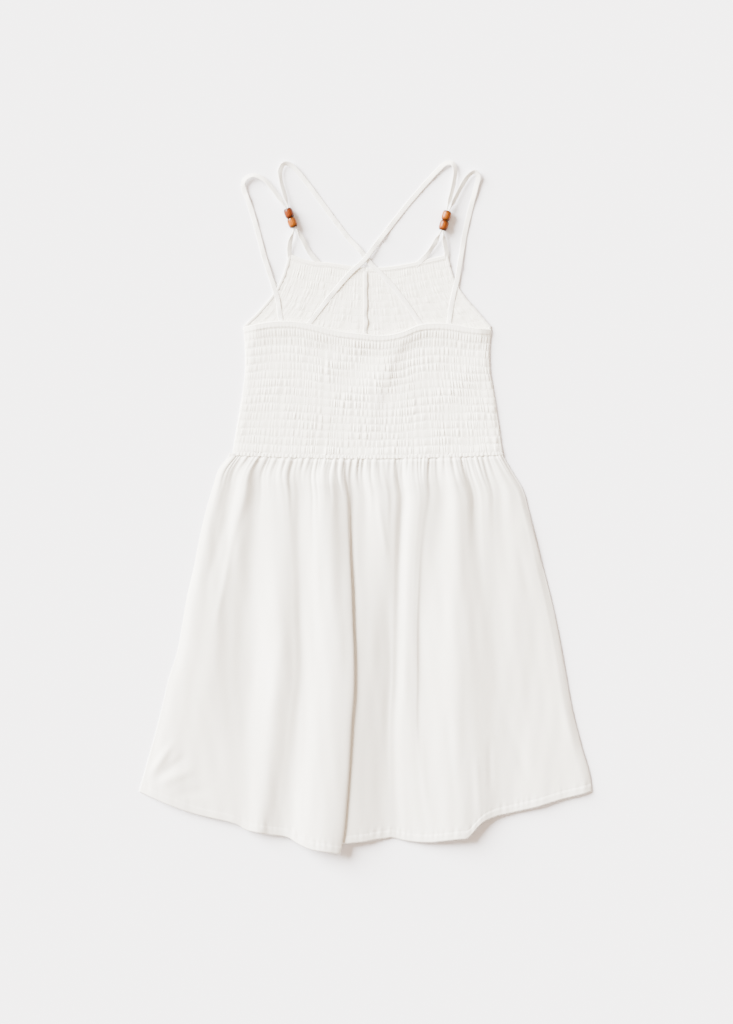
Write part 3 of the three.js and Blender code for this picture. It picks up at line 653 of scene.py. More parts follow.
@dataclass(frozen=True)
class Thread:
    """Sewing thread, seen as short spindles that dip into the cloth at both ends."""

    length: float = 2.1
    pitch: float = 2.7
    radius: float = 0.17
    lift: float = 0.1

    def points(self, places: Array, along: Array, up: Array) -> Array:
        """A four-sided spindle at each place: two rings of four and two sunken tips.

        Args:
            places: middles of the stitches.
            along: unit directions of the stitches.
            up: unit normals of the cloth.

        Returns:
            Ten points for each stitch.
        """
        side = unit(np.cross(up, along))
        turn = np.arange(4) * np.pi / 2
        rings = [np.stack([np.full(4, end), np.cos(turn), np.sin(turn)], axis=1) for end in (-0.28, 0.28)]
        shape = np.concatenate([[[-0.5, 0, -1.2]], *rings, [[0.5, 0, -1.2]]])
        lengths, widths, heights = shape[:, 0], shape[:, 1], shape[:, 2]
        base = places + up * self.lift
        return (
            base[:, None]
            + along[:, None] * (lengths * self.length)[:, None]
            + side[:, None] * (widths * self.radius)[:, None]
            + up[:, None] * (heights * self.radius)[:, None]
        )

    def piece(self, name: str, places: Array, along: Array, up: Array) -> bpy.types.Object:
        """Joins all stitches in one mesh.

        Args:
            name: of the object.
            places: middles of the stitches.
            along: directions of the stitches.
            up: normals of the cloth.

        Returns:
            The object.
        """
        points = self.points(places, unit(along), unit(up))
        count = len(points)
        k = np.arange(4)
        after = (k + 1) % 4
        tips = np.concatenate([
            np.stack([np.zeros(4, int), 1 + after, 1 + k], axis=1),
            np.stack([np.full(4, 9), 5 + k, 5 + after], axis=1),
        ])
        walls = np.stack([1 + k, 1 + after, 5 + after, 5 + k], axis=1)
        offsets = (np.arange(count) * 10)[:, None, None]
        quads = (walls[None] + offsets).reshape(-1, 4)
        triangles = (tips[None] + offsets).reshape(-1, 3)
        flat = points.reshape(-1, 3)
        return store_mesh(name, flat, quads, triangles, flat[:, :2] * MM)


def spaced(points: Array, up: Array, pitch: float) -> tuple[Array, Array, Array]:
    """Even places along a line of points, by its length.

    Args:
        points: of the line.
        up: normals at the points.
        pitch: between two places.

    Returns:
        Places, directions and normals.
    """
    run = run_length(points)
    at = np.arange(pitch / 2, run[-1], pitch)
    place, normal, ahead, behind = (
        np.stack([np.interp(where, run, values[:, n]) for n in range(3)], axis=1)
        for where, values in ((at, points), (at, up), (at + pitch / 4, points), (at - pitch / 4, points)))
    return place, ahead - behind, normal


class Seams:
    """Collects rows of stitches and makes one mesh of them."""

    def __init__(self, thread: Thread):
        """Starts with no rows."""
        self.thread = thread
        self.rows: list[tuple[Array, Array, Array]] = []

    def add(self, points: Array, up: Array) -> None:
        """Adds a row of stitches along a line of points with their normals."""
        self.rows.append(spaced(points, up, self.thread.pitch))

    def on_shell(self, shell: Shell, row: float, first: int = 2, last: int = -3) -> None:
        """Adds a row of stitches on a shell, across all its columns at one row number."""
        columns = np.arange(first, shell.half.shape[1] + last, dtype=float)
        self.add(*shell.sample(np.full(len(columns), float(row)), columns))

    def piece(self, name: str) -> bpy.types.Object:
        """The joined mesh of all rows."""
        places, along, up = (np.concatenate(parts) for parts in zip(*self.rows))
        return self.thread.piece(name, places, along, up)


class Graph:
    """Adds nodes to a tree and links them by socket name or number."""

    def __init__(self, tree: bpy.types.NodeTree):
        """Works on one node tree."""
        self.tree = tree

    def put(self, node: bpy.types.Node, inputs: dict) -> None:
        """Gives a node's inputs, by name or number, their values or the sockets to link."""
        for key, value in inputs.items():
            if isinstance(value, bpy.types.NodeSocket):
                self.tree.links.new(value, node.inputs[key])
            else:
                node.inputs[key].default_value = value

    def node(self, kind: str, inputs: dict, **settings: object) -> bpy.types.Node:
        """Adds a node.

        Args:
            kind: the node's type, without the word that all shader nodes begin with.
            inputs: values, or sockets to link, by the input's name or number.
            settings: of the node itself.

        Returns:
            The node.
        """
        node = self.tree.nodes.new(f"ShaderNode{kind}")
        for name, value in settings.items():
            setattr(node, name, value)
        self.put(node, inputs)
        return node

    def math(self, operation: str, *values: object, kind: str = "Math") -> bpy.types.NodeSocket:
        """The result of a Math node, or of a VectorMath one, on its values."""
        return self.node(kind, dict(enumerate(values)), operation=operation).outputs[0]

    def mix(self, share: object, first: object, second: object) -> bpy.types.NodeSocket:
        """A colour between two colours, by a share."""
        return self.node("Mix", {"Factor": share, 6: first, 7: second}, data_type="RGBA").outputs[2]

    def noise(self, place: object, scale: float, detail: float, rough: float = 0.5) -> bpy.types.NodeSocket:
        """Noise between 0 and 1 at a place."""
        inputs = {"Vector": place, "Scale": scale, "Detail": detail, "Roughness": rough}
        return self.node("TexNoise", inputs).outputs[0]

    def ramp(self, value: object, start: float, stop: float, low: float, high: float) -> bpy.types.NodeSocket:
        """A value's share of the way from start to stop, laid between low and high."""
        inputs = {"Value": value, "From Min": start, "From Max": stop, "To Min": low, "To Max": high}
        return self.node("MapRange", inputs).outputs[0]

    def bump(self, height: object, strength: float, distance: float, **more: object) -> bpy.types.NodeSocket:
        """A normal that follows a height, on top of another normal if one is given."""
        inputs = {"Height": height, "Strength": strength, "Distance": distance, **more}
        return self.node("Bump", inputs).outputs[0]


def start_material(name: str) -> tuple[bpy.types.Material, Graph, bpy.types.Node]:
    """A new material, the graph of its nodes, and its shader."""
    material = bpy.data.materials.new(name)
    material.use_nodes = True
    return material, Graph(material.node_tree), material.node_tree.nodes["Principled BSDF"]


def node_group(name: str, inputs: dict[str, str]) -> tuple[Graph, dict, bpy.types.Node]:
    """Starts a shader node group that gives out a tone and a height.

    Args:
        name: of the group.
        inputs: socket types by name.

    Returns:
        The graph to fill, its input sockets by name, and the node that takes the tone and the height.
    """
    tree = bpy.data.node_groups.new(name, "ShaderNodeTree")
    outputs = {"Tone": "Float", "Height": "Float"}
    for direction, sockets in (("INPUT", inputs), ("OUTPUT", outputs)):
        for label, kind in sockets.items():
            tree.interface.new_socket(name=label, in_out=direction, socket_type=f"NodeSocket{kind}")
    source = tree.nodes.new("NodeGroupInput")
    return Graph(tree), {label: source.outputs[label] for label in inputs}, tree.nodes.new("NodeGroupOutput")


def weave_group() -> bpy.types.NodeTree:
    """Plain weave with uneven threads: sine of warp times sine of weft, plus stretched noise each way."""
    inputs = {"Cloth": "Vector", "Threads": "Float", "Seed": "Float"}
    graph, given, result = node_group("plain_weave", inputs)
    parts = graph.node("SeparateXYZ", {0: given["Cloth"]}).outputs
    turns = graph.math("MULTIPLY", given["Threads"], math.pi)
    warp, weft = (graph.math("SINE", graph.math("MULTIPLY", parts[n], turns)) for n in (0, 1))
    crossing = graph.math("MULTIPLY_ADD", graph.math("MULTIPLY", warp, weft), 0.5, 0.5)
    tones = []
    for stretch in ((1500, 70, 1), (70, 1500, 1)):
        place = graph.math("MULTIPLY", given["Cloth"], stretch, kind="VectorMath")
        moved = graph.math("ADD", place, given["Seed"], kind="VectorMath")
        tones.append(graph.noise(moved, 1.0, 2.0))
    slub = graph.math("MULTIPLY", graph.math("ADD", *tones), 0.5)
    graph.put(result, {"Tone": slub, "Height": graph.math("MULTIPLY_ADD", slub, 0.7, crossing)})
    return graph.tree


def handling_group() -> bpy.types.NodeTree:
    """Broad soft unevenness of washed cloth, and its finest wrinkles, from noise at a place."""
    graph, given, result = node_group("washed_cloth", {"Place": "Vector", "Seed": "Float"})
    moved = graph.math("ADD", given["Place"], given["Seed"], kind="VectorMath")
    graph.put(result, {"Tone": graph.noise(moved, 14.0, 3.0), "Height": graph.noise(moved, 160.0, 4.0, 0.62)})
    return graph.tree


def grain_group() -> bpy.types.NodeTree:
    """Wood grain along the first axis: rings bent by noise, and fine pores stretched with the grain."""
    graph, given, result = node_group("turned_wood", {"Place": "Vector", "Seed": "Float"})
    moved = graph.math("ADD", given["Place"], given["Seed"], kind="VectorMath")
    flat = graph.math("MULTIPLY", moved, (0.22, 1, 1), kind="VectorMath")
    rings = graph.node(
        "TexWave", {"Vector": flat, "Scale": 230.0, "Distortion": 5.0, "Detail": 3.0, "Detail Scale": 1.6},
        wave_type="BANDS", bands_direction="Y").outputs[1]
    pores = graph.noise(graph.math("MULTIPLY", moved, (0.12, 1, 1), kind="VectorMath"), 2600.0, 3.0)
    tone = graph.math("MULTIPLY_ADD", pores, 0.45, graph.math("MULTIPLY", rings, 0.6))
    graph.put(result, {"Tone": tone, "Height": pores})
    return graph.tree


@dataclass(frozen=True)
class CottonFinish:
    """White cotton in one of the dress's weights."""

    name: str
    bright: Colour = (0.80, 0.775, 0.728, 1)
    warm: Colour = (0.765, 0.735, 0.68, 1)
    threads: float = 2400.0          # to the metre
    weave_depth: float = 0.12        # strength of the bump
    wrinkle_depth: float = 0.25
    seed: float = 0.0

    def material(self, weave: bpy.types.NodeTree, handling: bpy.types.NodeTree) -> bpy.types.Material:
        """Builds the material.

        Args:
            weave: the group of the thread pattern.
            handling: the group of the washed cloth's unevenness.

        Returns:
            The material.
        """
        material, graph, shader = start_material(self.name)
        cloth = graph.node("UVMap", {}, uv_map="cloth").outputs[0]
        place = graph.node("TexCoord", {}).outputs["Object"]
        threads = graph.node("Group", {}, node_tree=weave)
        graph.put(threads, {"Cloth": cloth, "Threads": self.threads, "Seed": self.seed})
        washed = graph.node("Group", {}, node_tree=handling)
        graph.put(washed, {"Place": place, "Seed": self.seed})
        tone = graph.math("MULTIPLY_ADD", threads.outputs["Tone"], 0.5, washed.outputs["Tone"])
        wrinkles = graph.bump(washed.outputs["Height"], self.wrinkle_depth, 0.0004)
        graph.put(shader, {
            "Base Color": graph.mix(graph.ramp(tone, 0.5, 1, 0, 1), self.bright, self.warm),
            "Roughness": graph.ramp(threads.outputs["Tone"], 0.3, 0.7, 0.8, 0.92),
            "Normal": graph.bump(threads.outputs["Height"], self.weave_depth, 0.00012, Normal=wrinkles),
            "Specular IOR Level": 0.3, "Sheen Weight": 0.12, "Sheen Roughness": 0.55,
        })
        return material


@dataclass(frozen=True)
class WoodFinish:
    """Stained and varnished wood of one bead."""

    name: str
    light: Colour
    dark: Colour
    seed: float
    end_shade_share: float = 0.35           # share of the dark colour left at the bead's ends: painted shade where the ends turn away and meet the next bead

    def material(self, grain: bpy.types.NodeTree) -> bpy.types.Material:
        """Builds the material around the grain group.

        Args:
            grain: the group of the rings and pores.

        Returns:
            The material.
        """
        material, graph, shader = start_material(self.name)
        place = graph.node("Attribute", {}, attribute_name="turned").outputs["Vector"]
        rings = graph.node("Group", {}, node_tree=grain)
        graph.put(rings, {"Place": place, "Seed": self.seed})
        along = graph.node("SeparateXYZ", {0: place}).outputs[0]
        reach = graph.math("DIVIDE", graph.math("ABSOLUTE", along), BEAD_LENGTH / 2 * MM)
        grained = graph.mix(graph.ramp(rings.outputs["Tone"], 0.2, 0.8, 0, 1), self.light, self.dark)
        # Painted shade: the colour darkens toward both ends of the bead, where the rounded ends turn away and
        # meet the next bead.
        painted_end_shade = tuple(self.end_shade_share * part for part in self.dark[:3]) + (1.0,)
        graph.put(shader, {
            "Base Color": graph.mix(graph.ramp(reach, 0.4, 0.96, 0, 0.95), grained, painted_end_shade),
            "Roughness": graph.ramp(rings.outputs["Height"], 0, 1, 0.3, 0.46),
            "Normal": graph.bump(rings.outputs["Height"], 0.2, 0.0001),
            "Specular IOR Level": 0.06, "Coat Weight": 0.26, "Coat Roughness": 0.3,
        })
        return material


@dataclass
class Studio:
    """A plain pale floor, a large soft light from the upper left, an even fill, and the camera above."""

    floor_size: float = 14.0
    floor_colour: Colour = (0.90, 0.90, 0.962, 1)
    key_strength: float = 36.0
    key_spread: float = 42.0         # degrees of the light's face, seen from the dress
    key_direction: tuple[float, float, float] = (-0.76, 0.48, 0.42)
    key_colour: tuple[float, float, float] = (0.985, 1.0, 0.97)
    fill_strength: float = 1.35
    fill_colour: Colour = (1.0, 0.76, 0.56, 1)
    lens: float = 100.0              # millimetres, as is the sensor
    sensor: float = 36.0
    camera_distance: float = 3.015
    camera_centre: tuple[float, float, float] = (0.0016, -0.0053, 0.006)

    def build(self) -> None:
        """Makes the floor, the lights and the camera, in metres."""
        self.floor()
        self.lights()
        self.camera()

    def floor(self) -> None:
        """A large flat square, on which the dress lies."""
        half = self.floor_size / 2
        corners = [(-half, -half, 0), (half, -half, 0), (half, half, 0), (-half, half, 0)]
        mesh = bpy.data.meshes.new("floor")
        mesh.from_pydata(corners, [], [(0, 1, 2, 3)])
        material, graph, shader = start_material("pale_floor")
        graph.put(shader, {"Base Color": self.floor_colour, "Roughness": 0.95, "Specular IOR Level": 0.1})
        mesh.materials.append(material)
        placed("floor", mesh)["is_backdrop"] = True

    def lights(self) -> None:
        """A wide distant key light and an even fill from all round."""
        lamp = bpy.data.lights.new("key", "SUN")
        lamp.energy = self.key_strength
        lamp.angle = math.radians(self.key_spread)
        lamp.color = self.key_colour
        placed("key", lamp).rotation_euler = Vector(self.key_direction).to_track_quat("Z", "Y").to_euler()
        world = bpy.data.worlds.new("fill")
        world.use_nodes = True
        background = world.node_tree.nodes["Background"]
        background.inputs["Color"].default_value = self.fill_colour
        background.inputs["Strength"].default_value = self.fill_strength
        bpy.context.scene.world = world

    def camera(self) -> None:
        """Looks straight down, with the photograph's framing."""
        data = bpy.data.cameras.new("camera")
        data.lens = self.lens
        data.sensor_width = self.sensor
        data.clip_end = 50
        camera = placed("camera", data)
        x, y, z = self.camera_centre
        camera.location = (x, y, z + self.camera_distance)
        bpy.context.scene.camera = camera


def dress(piece: bpy.types.Object, material: bpy.types.Material, slot: Slot, *nodes: str) -> bpy.types.Object:
    """Gives a finished piece its material and body, and hides the solids that it stands for.

    Args:
        piece: the object.
        material: its finish.
        slot: of the record; not used.
        nodes: names of the solids that it stands for.

    Returns:
        The object.
    """
    piece.data.materials.append(material)
    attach(piece, BODY)
    if nodes:
        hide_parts(*nodes)
    LOG.info("%s: %d faces, for %s", piece.name, len(piece.data.polygons), ", ".join(nodes) or "trim")
    return piece


@dataclass
class Wardrobe:
    """The materials of the dress, made once from their finishes and groups."""

    def __post_init__(self) -> None:
        """Builds the groups and the materials."""
        weave, handling, self.grain = weave_group(), handling_group(), grain_group()
        self.plain = CottonFinish("cotton_plain").material(weave, handling)
        self.shirred = CottonFinish(
            "cotton_shirred", bright=(0.94, 0.915, 0.845, 1), warm=(0.90, 0.87, 0.795, 1),
            wrinkle_depth=0.35, seed=3.1).material(weave, handling)
        self.tape = CottonFinish(
            "cotton_tape", bright=(0.90, 0.88, 0.84, 1), warm=(0.86, 0.83, 0.78, 1),
            threads=2000.0, weave_depth=0.3, seed=7.7).material(weave, handling)
        self.thread = CottonFinish(
            "cotton_thread", bright=(0.91, 0.89, 0.85, 1), warm=(0.88, 0.86, 0.81, 1),
            threads=5200.0, weave_depth=0.5, seed=11.3).material(weave, handling)


@dataclass
class Skirt:
    """The gathered skirt: a back panel in deep soft folds that lies on a flat front panel."""

    wardrobe: Wardrobe
    half: float = 0.4
    hem_extra: float = 0.35          # half of what the turned hem adds
    hem_depth: float = 9.0
    stitch_depth: float = 8.0
    columns_per_fold: int = 10
    seam_tuck: float = 3.2           # how far the gathered edge reaches under the bodice
    seam_reach: float = 3.4          # how soon below the seam the folds stand at their height
    side_drop: float = 1.25          # how far the side folds roll down onto the front panel
    seam_rest: float = 0.9           # of the cloth's middle in the waist seam, above where it would lie flat
    seam_follow: float = 0.25        # share of the folds' height that is left in the seam
    fine_gathers: int = 110
    hem_ditch: float = 1.1           # half width of the dent along the hem's stitches

    def shares(self) -> Array:
        """Rows from waist to hem, close together at both ends."""
        tuck = self.seam_tuck / (WAIST_Y - FOLDS[:, 3].mean())
        return np.concatenate([
            np.linspace(-tuck, 0, 4, endpoint=False),
            np.linspace(0, 0.1, 34, endpoint=False),
            np.linspace(0.1, 0.955, 92, endpoint=False),
            np.linspace(0.955, 1, 20),
        ])

    def fold_lines(self, shares: Array) -> Array:
        """Places of the fold lines at each row.

        Across: the share between the side outlines moves evenly from waist to hem, plus a parabola for
        how far it stands off that halfway down. Down: evenly from the waist seam to the fold's hem.
        Lift: eased from the waist's value to the top's, the middle's and the hem's.

        Args:
            shares: of the way from waist to hem.

        Returns:
            Rows by lines by x, y, z.
        """
        x_waist, x_middle, x_hem, y_hem, lift_top, lift_middle, lift_hem = FOLDS.T
        at_waist, at_middle, at_hem = ((x - x[0]) / (x[-1] - x[0]) for x in (x_waist, x_middle, x_hem))
        bend = at_middle - (at_waist + at_hem) / 2
        s = shares[:, None]
        across = between(at_waist, at_hem, s) + 4 * bend * s * (1 - s)
        left, right = (edge.at(shares)[:, :1] for edge in (SKIRT_LEFT, SKIRT_RIGHT))
        x = between(left, right, across)
        y = (waist_y(x_waist) - GAP) * (1 - s) + y_hem * s
        gathered = np.where(lift_middle == 0, 0, WAIST_LIFT + WAIST_RELIEF * lift_top)
        lift = between(gathered, lift_top, ease(s / TOP_SHARE))
        lift = lift + (lift_middle - lift_top) * ease((s - TOP_SHARE) / (0.5 - TOP_SHARE))
        lift = lift + (lift_hem - lift_middle) * ease((s - 0.5) / 0.5)
        return np.stack([x, y, lift], axis=-1)

    def gathers(self, at: Array, below: Array) -> Array:
        """Fine gathers that leave the waist seam: bells across, each fading down over its own length.

        Args:
            at: x at the waist of each column.
            below: distance below the seam of each grid point.

        Returns:
            Heights, rows by columns.
        """
        rng = np.random.default_rng(41)
        places = FOLDS[0, 0] + np.cumsum(rng.uniform(1.9, 4.4, self.fine_gathers))
        places = places[places < FOLDS[-1, 0]]
        count = len(places)
        fine = np.stack([
            places,
            rng.uniform(0.4, 1.5, count) * rng.choice((1, 1, -0.5), count),
            rng.uniform(0.7, 1.25, count),
            rng.uniform(6, 24, count) + 24 * (rng.uniform(0, 1, count) > 0.8),
        ], axis=1)
        table = np.concatenate([GATHERS, fine])
        leans = rng.normal(0, 0.03, len(table))
        result = np.zeros(below.shape)
        for (place, depth, width, length), lean in zip(table, leans):
            across = (at[None] - place - lean * below) / (width * (1 + below / 70))
            result -= depth * np.exp(-across ** 2 - (np.maximum(below, 0) / length) ** 1.5)
        return result

    def creases(self, points: Array) -> Array:
        """Small creases: a bell across each one's line, and an eased rise and fall along it."""
        result = np.zeros(points.shape[:2])
        for x0, y0, x1, y1, width, height in CREASES:
            line = np.array([x1 - x0, y1 - y0])
            length = np.hypot(*line)
            line = line / length
            away = points[..., :2] - (x0, y0)
            along = (away @ line) / length
            aside = away @ np.array([-line[1], line[0]])
            rise = ease(along / 0.35) * ease((1 - along) / 0.35)
            result += height * rise * bell(aside / width)
        return result

    def back(self) -> Shell:
        """The back panel's shell: fold lines, gathers, creases, soft ripples and the turned hem."""
        shares = self.shares()
        lines = along_columns(self.fold_lines(shares), self.columns_per_fold)
        length = lines[0, :, 1] - lines[-1, :, 1]
        below = shares[:, None] * length
        above = (1 - shares[:, None]) * length
        z = BACK_REST + CLOTH / 2 + np.maximum(lines[..., 2], 0)
        columns = lines.shape[1]
        at_side = np.minimum(np.arange(columns), columns - 1 - np.arange(columns)) / self.columns_per_fold
        z = z - self.side_drop * (1 - ease(at_side / 1.8))
        seam = BACK_REST + self.seam_rest + self.seam_follow * (z - BACK_REST - CLOTH / 2)
        z = between(seam, z, ease((below + 0.4) / self.seam_reach))
        middle = np.concatenate([lines[..., :2], z[..., None]], axis=-1)
        at = lines[0, :, 0]
        fine = self.gathers(at, below) + self.creases(middle)
        fine += 0.3 * Ripples(5, (45, 120), (200, 600)).over(middle) * ease(below / 80)
        fine += 0.06 * Ripples(8, (12, 30), (60, 220)).over(middle) * ease(below / 40)
        puckered = bell((above - self.stitch_depth) / 5)
        fine += 0.13 * puckered * Ripples(12, (5, 11), (60, 200)).at(middle[..., 0], above)
        fine -= 0.22 * bell((above - self.stitch_depth) / self.hem_ditch)
        fine *= ease(at_side * 2)
        middle = middle + normals(middle) * fine[..., None]
        middle[..., 2] = np.maximum(middle[..., 2], BACK_REST + 0.2 - self.side_drop)
        band = ease((self.hem_depth - above) / 1.5)
        half = np.full(below.shape, self.half) + self.hem_extra * band
        return Shell(middle, half, np.zeros(below.shape), under_step=3)

    def front(self) -> Shell:
        """The front panel's shell, flat on the surface it lies on, with the same hem."""
        shares = np.concatenate([np.linspace(0, 0.95, 40, endpoint=False), np.linspace(0.95, 1, 16)])
        left = SKIRT_LEFT.moved(FRONT_INSET).at(shares)
        right = SKIRT_RIGHT.moved(-FRONT_INSET).at(shares)
        shown = np.delete(FOLDS, (0, *UNDER_FLAPS, len(FOLDS) - 1), axis=0)
        hem_x = np.concatenate([[left[-1, 0]], shown[:, 2], [right[-1, 0]]])
        hem_y = np.concatenate([[left[-1, 1]], shown[:, 3], [right[-1, 1]]]) + FRONT_HEM_INSET
        across = np.linspace(0, 1, 150)
        x_top, x_hem = (between(left[n, 0], right[n, 0], across) for n in (0, -1))
        top = np.stack([x_top, waist_y(x_top) - GAP], axis=1)
        bottom = np.stack([x_hem, smooth_line(x_hem, hem_x, hem_y)], axis=1)
        left[:, 1] += (top[0, 1] - left[0, 1]) * (1 - shares) + (bottom[0, 1] - left[-1, 1]) * shares
        right[:, 1] += (top[-1, 1] - right[0, 1]) * (1 - shares) + (bottom[-1, 1] - right[-1, 1]) * shares
        plan = patch(left, right, top, bottom, shares)
        above = (1 - shares[:, None]) * (plan[0, :, 1] - plan[-1, :, 1])
        half = np.full(above.shape, 0.45)
        middle = np.concatenate([plan, half[..., None] + 0.05], axis=-1)
        relief = 0.1 + 0.12 * Ripples(21, (12, 50), (60, 300)).over(plan)
        relief += 0.25 * ease((self.hem_depth - above) / 1.5)
        relief -= 0.2 * bell((above - self.stitch_depth) / self.hem_ditch)
        return Shell(middle, half, relief, under_step=3)

    def build(self) -> None:
        """Makes both panels and the hem's stitches."""
        back, front = self.back(), self.front()
        seams = Seams(Thread(length=2.2, pitch=2.9, radius=0.12, lift=0.0))
        for shell in (back, front):
            above = shell.middle[:, :, 1] - shell.middle[-1:, :, 1]
            columns = np.arange(3, above.shape[1] - 4)
            row = [np.interp(-self.stitch_depth, -above[:, j], np.arange(len(above))) for j in columns]
            seams.add(*shell.sample(np.array(row), columns.astype(float)))
        stitches = dress(seams.piece("hem_stitches"), self.wardrobe.thread, Slot.TAPE)
        upper = dress(back.piece("skirt_back_panel"), self.wardrobe.plain, Slot.PLAIN, "skirt_back")
        lower = dress(front.piece("skirt_front_panel"), self.wardrobe.plain, Slot.PLAIN, "skirt_front")


@dataclass
class Bodice:
    """The shirred bodice: a back with a turned hem, over two front halves seen from their inside."""

    wardrobe: Wardrobe
    half: float = 0.45
    rib_rows: int = 7
    back_columns: int = 560
    front_columns: int = 168
    side_drop: float = 0.9
    seam_puff: float = 0.7           # how far the bulk of the gathered seam lifts the bodice's edge
    fold_line: tuple[tuple[float, float], ...] = ((46, 190), (33, 165), (21, 139), (12, 112), (4, 78))
    fold_height: float = 1.2
    fold_widths: tuple[float, float] = (17.0, 7.0)
    allowance_sunk: float = 1.3      # how far the seam allowance is lowered from the solid's place
    back_width: float = 280.0
    back_drawn: float = 300.0        # width for which the back's puckers are drawn
    front_width: float = 118.0
    front_drawn: float = 150.0

    def edge_puckers(self, seed: int, pitch: float, across: Array) -> Array:
        """A single row of puckers along the back, at shares of its width."""
        return Puckers(seed, 1, self.back_drawn, pitch=pitch).heights(across * self.back_width)[0]

    def rib_shares(self, count: int, first: float, last: float) -> tuple[Array, Array]:
        """Rows through all ribs: their shares of the way down, and their rib numbers with fractions."""
        ribs = np.linspace(0, count, count * self.rib_rows + 1)
        return between(first, last, ribs / count), ribs

    @staticmethod
    def banded(before: int, ribs: Array, after: int) -> tuple[Array, Array]:
        """Rib numbers of plain rows, then ribs, then plain rows, and 1 where the cloth is shirred."""
        numbers = np.concatenate([np.zeros(before), ribs, np.full(after, ribs[-1])])
        return numbers, np.concatenate([np.zeros(before), np.ones(len(ribs)), np.zeros(after)])

    def soft_fold(self, points: Array) -> Array:
        """The loose diagonal fold of the back: its left flank wide and its right flank steep."""
        line = np.array(self.fold_line, float)[::-1]
        x = smooth_line(points[..., 1], line[:, 1], line[:, 0])
        aside = points[..., 0] - x
        width = np.where(aside < 0, *self.fold_widths)
        run = (points[..., 1] - line[0, 1]) / (line[-1, 1] - line[0, 1])
        strength = ease(run / 0.5 + 0.1)
        return self.fold_height * strength * bell(aside / width)

    def back(self) -> tuple[Shell, Array]:
        """The back's shell, and the row numbers of its stitched lines.

        The plan is a patch between the outlines. The underside slopes from the hem, which stands on the
        straps, down onto the front. The relief is the shirring, plain in the hem and above the waist.
        """
        height = BACK_TOP.points[0][1] - WAIST_Y
        hem_share = HEM_DEPTH / height
        middle_rows, ribs = self.rib_shares(BACK_RIBS, hem_share * 1.25, 1 - WAIST_MARGIN)
        hem_rows = np.linspace(0, hem_share * 1.25, 10, endpoint=False)
        end_rows = np.linspace(1 - WAIST_MARGIN, 1, 9)[1:]
        rows = np.concatenate([hem_rows, middle_rows, end_rows])
        numbers, shirred = self.banded(len(hem_rows), ribs, len(end_rows))
        across = np.linspace(0, 1, self.back_columns)
        bottom_x = between(BODICE_LEFT.points[-1][0], BODICE_RIGHT.points[-1][0], across)
        scallop = 0.5 * self.edge_puckers(39, 5.2, across)
        bottom = np.stack([bottom_x, waist_y(bottom_x) + scallop], axis=1)
        plan = patch(BODICE_LEFT.at(rows), BODICE_RIGHT.at(rows), BACK_TOP.at(across), bottom, rows)
        wobble = Ripples(31, (30, 90), (20, 60))
        plan[..., 1] += 0.35 * shirred[:, None] * wobble.over(plan)
        at_side = np.minimum(across, 1 - across) * self.back_width / 6
        sloped = np.clip((rows - hem_share) * height / SLOPE_DEPTH, 0, 1)
        stand = (HEM_UNDERSIDE - BACK_REST) * (1 - sloped)[:, None] * ease(at_side / 2.5)
        puffed = BACK_REST + self.seam_puff * ease((rows - 0.9) / 0.09)
        z = puffed[:, None] + stand + CLOTH / 2 - self.side_drop * (1 - ease(at_side))
        swell = Ripples(33, (45, 110), (50, 130)).over(plan)
        fold = self.soft_fold(plan) * ease((rows * height - 2) / 20)[:, None]
        z = z + (0.12 * swell + fold) * ease(at_side)
        middle = np.concatenate([plan, z[..., None]], axis=-1)
        puckers = Puckers(35, BACK_RIBS, self.back_drawn).heights(across * self.back_width)
        strength = 1 + 0.25 * Ripples(36, (40, 120), (30, 90)).over(plan)
        puckers = puckers * (0.6 + 0.5 * ease(across * 2.2))
        relief = Shirring().relief(numbers, puckers) * strength * shirred[:, None]
        hem = 1 - ease((rows * height - HEM_DEPTH) / 1.2)
        relief += (0.35 * hem * (0.75 + 0.25 * np.sin(np.pi * np.clip(rows / hem_share, 0, 1))))[:, None]
        fade = bell((rows * height - HEM_DEPTH) / 3)[:, None]
        relief += 0.12 * fade * self.edge_puckers(37, 4.2, across)
        end = ease((rows - (1 - WAIST_MARGIN)) / WAIST_MARGIN * 3)[:, None]
        relief += end * (0.1 + 0.28 * self.edge_puckers(38, 3.7, across))
        lines = len(hem_rows) + np.arange(BACK_RIBS + 1) * self.rib_rows
        half = np.full(relief.shape, self.half) + (0.35 * hem)[:, None]
        return Shell(middle, half, relief * ease(at_side * 3), under_step=5), lines

    def front(self, side: int) -> tuple[Shell, Array]:
        """One front half from its inside, and the row numbers of its stitched lines.

        The plan is a patch from the armhole's binding to the centre seam. What shows is shirred in rows
        that fan out toward the shoulder, and what the back hides is plain.

        Args:
            side: -1 for the left half and 1 for the right half.

        Returns:
            The shell and the row numbers.
        """
        armhole = ARMHOLE_LEFT if side < 0 else ARMHOLE_RIGHT
        flank = (BODICE_LEFT if side < 0 else BODICE_RIGHT).moved(-side * FRONT_INSET)
        edge = armhole.moved(-side * (BINDING_WIDTH - 0.6))
        points = list(edge.points)
        points[0] = (points[0][0], float(FRONT_NECK.height(points[0][0])))
        edge = Outline(tuple(points), Run.DOWN)
        centre = SEAM_X + side * GAP / 2
        centre_top = float(FRONT_NECK.height(centre))
        middle_rows, ribs = self.rib_shares(FRONT_RIBS, NECK_HEM_SHARE * 1.3, 1)
        hem_rows = np.linspace(0, NECK_HEM_SHARE * 1.3, 9, endpoint=False)
        shown = np.concatenate([hem_rows, middle_rows])
        hidden = np.linspace(0, 1, 13)[1:]
        rows = np.concatenate([shown * SHOWN_SHARE, SHOWN_SHARE + (1 - SHOWN_SHARE) * hidden])
        outer = np.concatenate([edge.at(shown), flank.at(hidden)])
        bottom_y = float(waist_y(np.array(centre)))
        inner_y = np.concatenate([
            between(centre_top, FRONT_SHOWN_TO, shown),
            between(FRONT_SHOWN_TO, bottom_y, hidden),
        ])
        inner = np.stack([np.full(len(rows), centre), inner_y], axis=1)
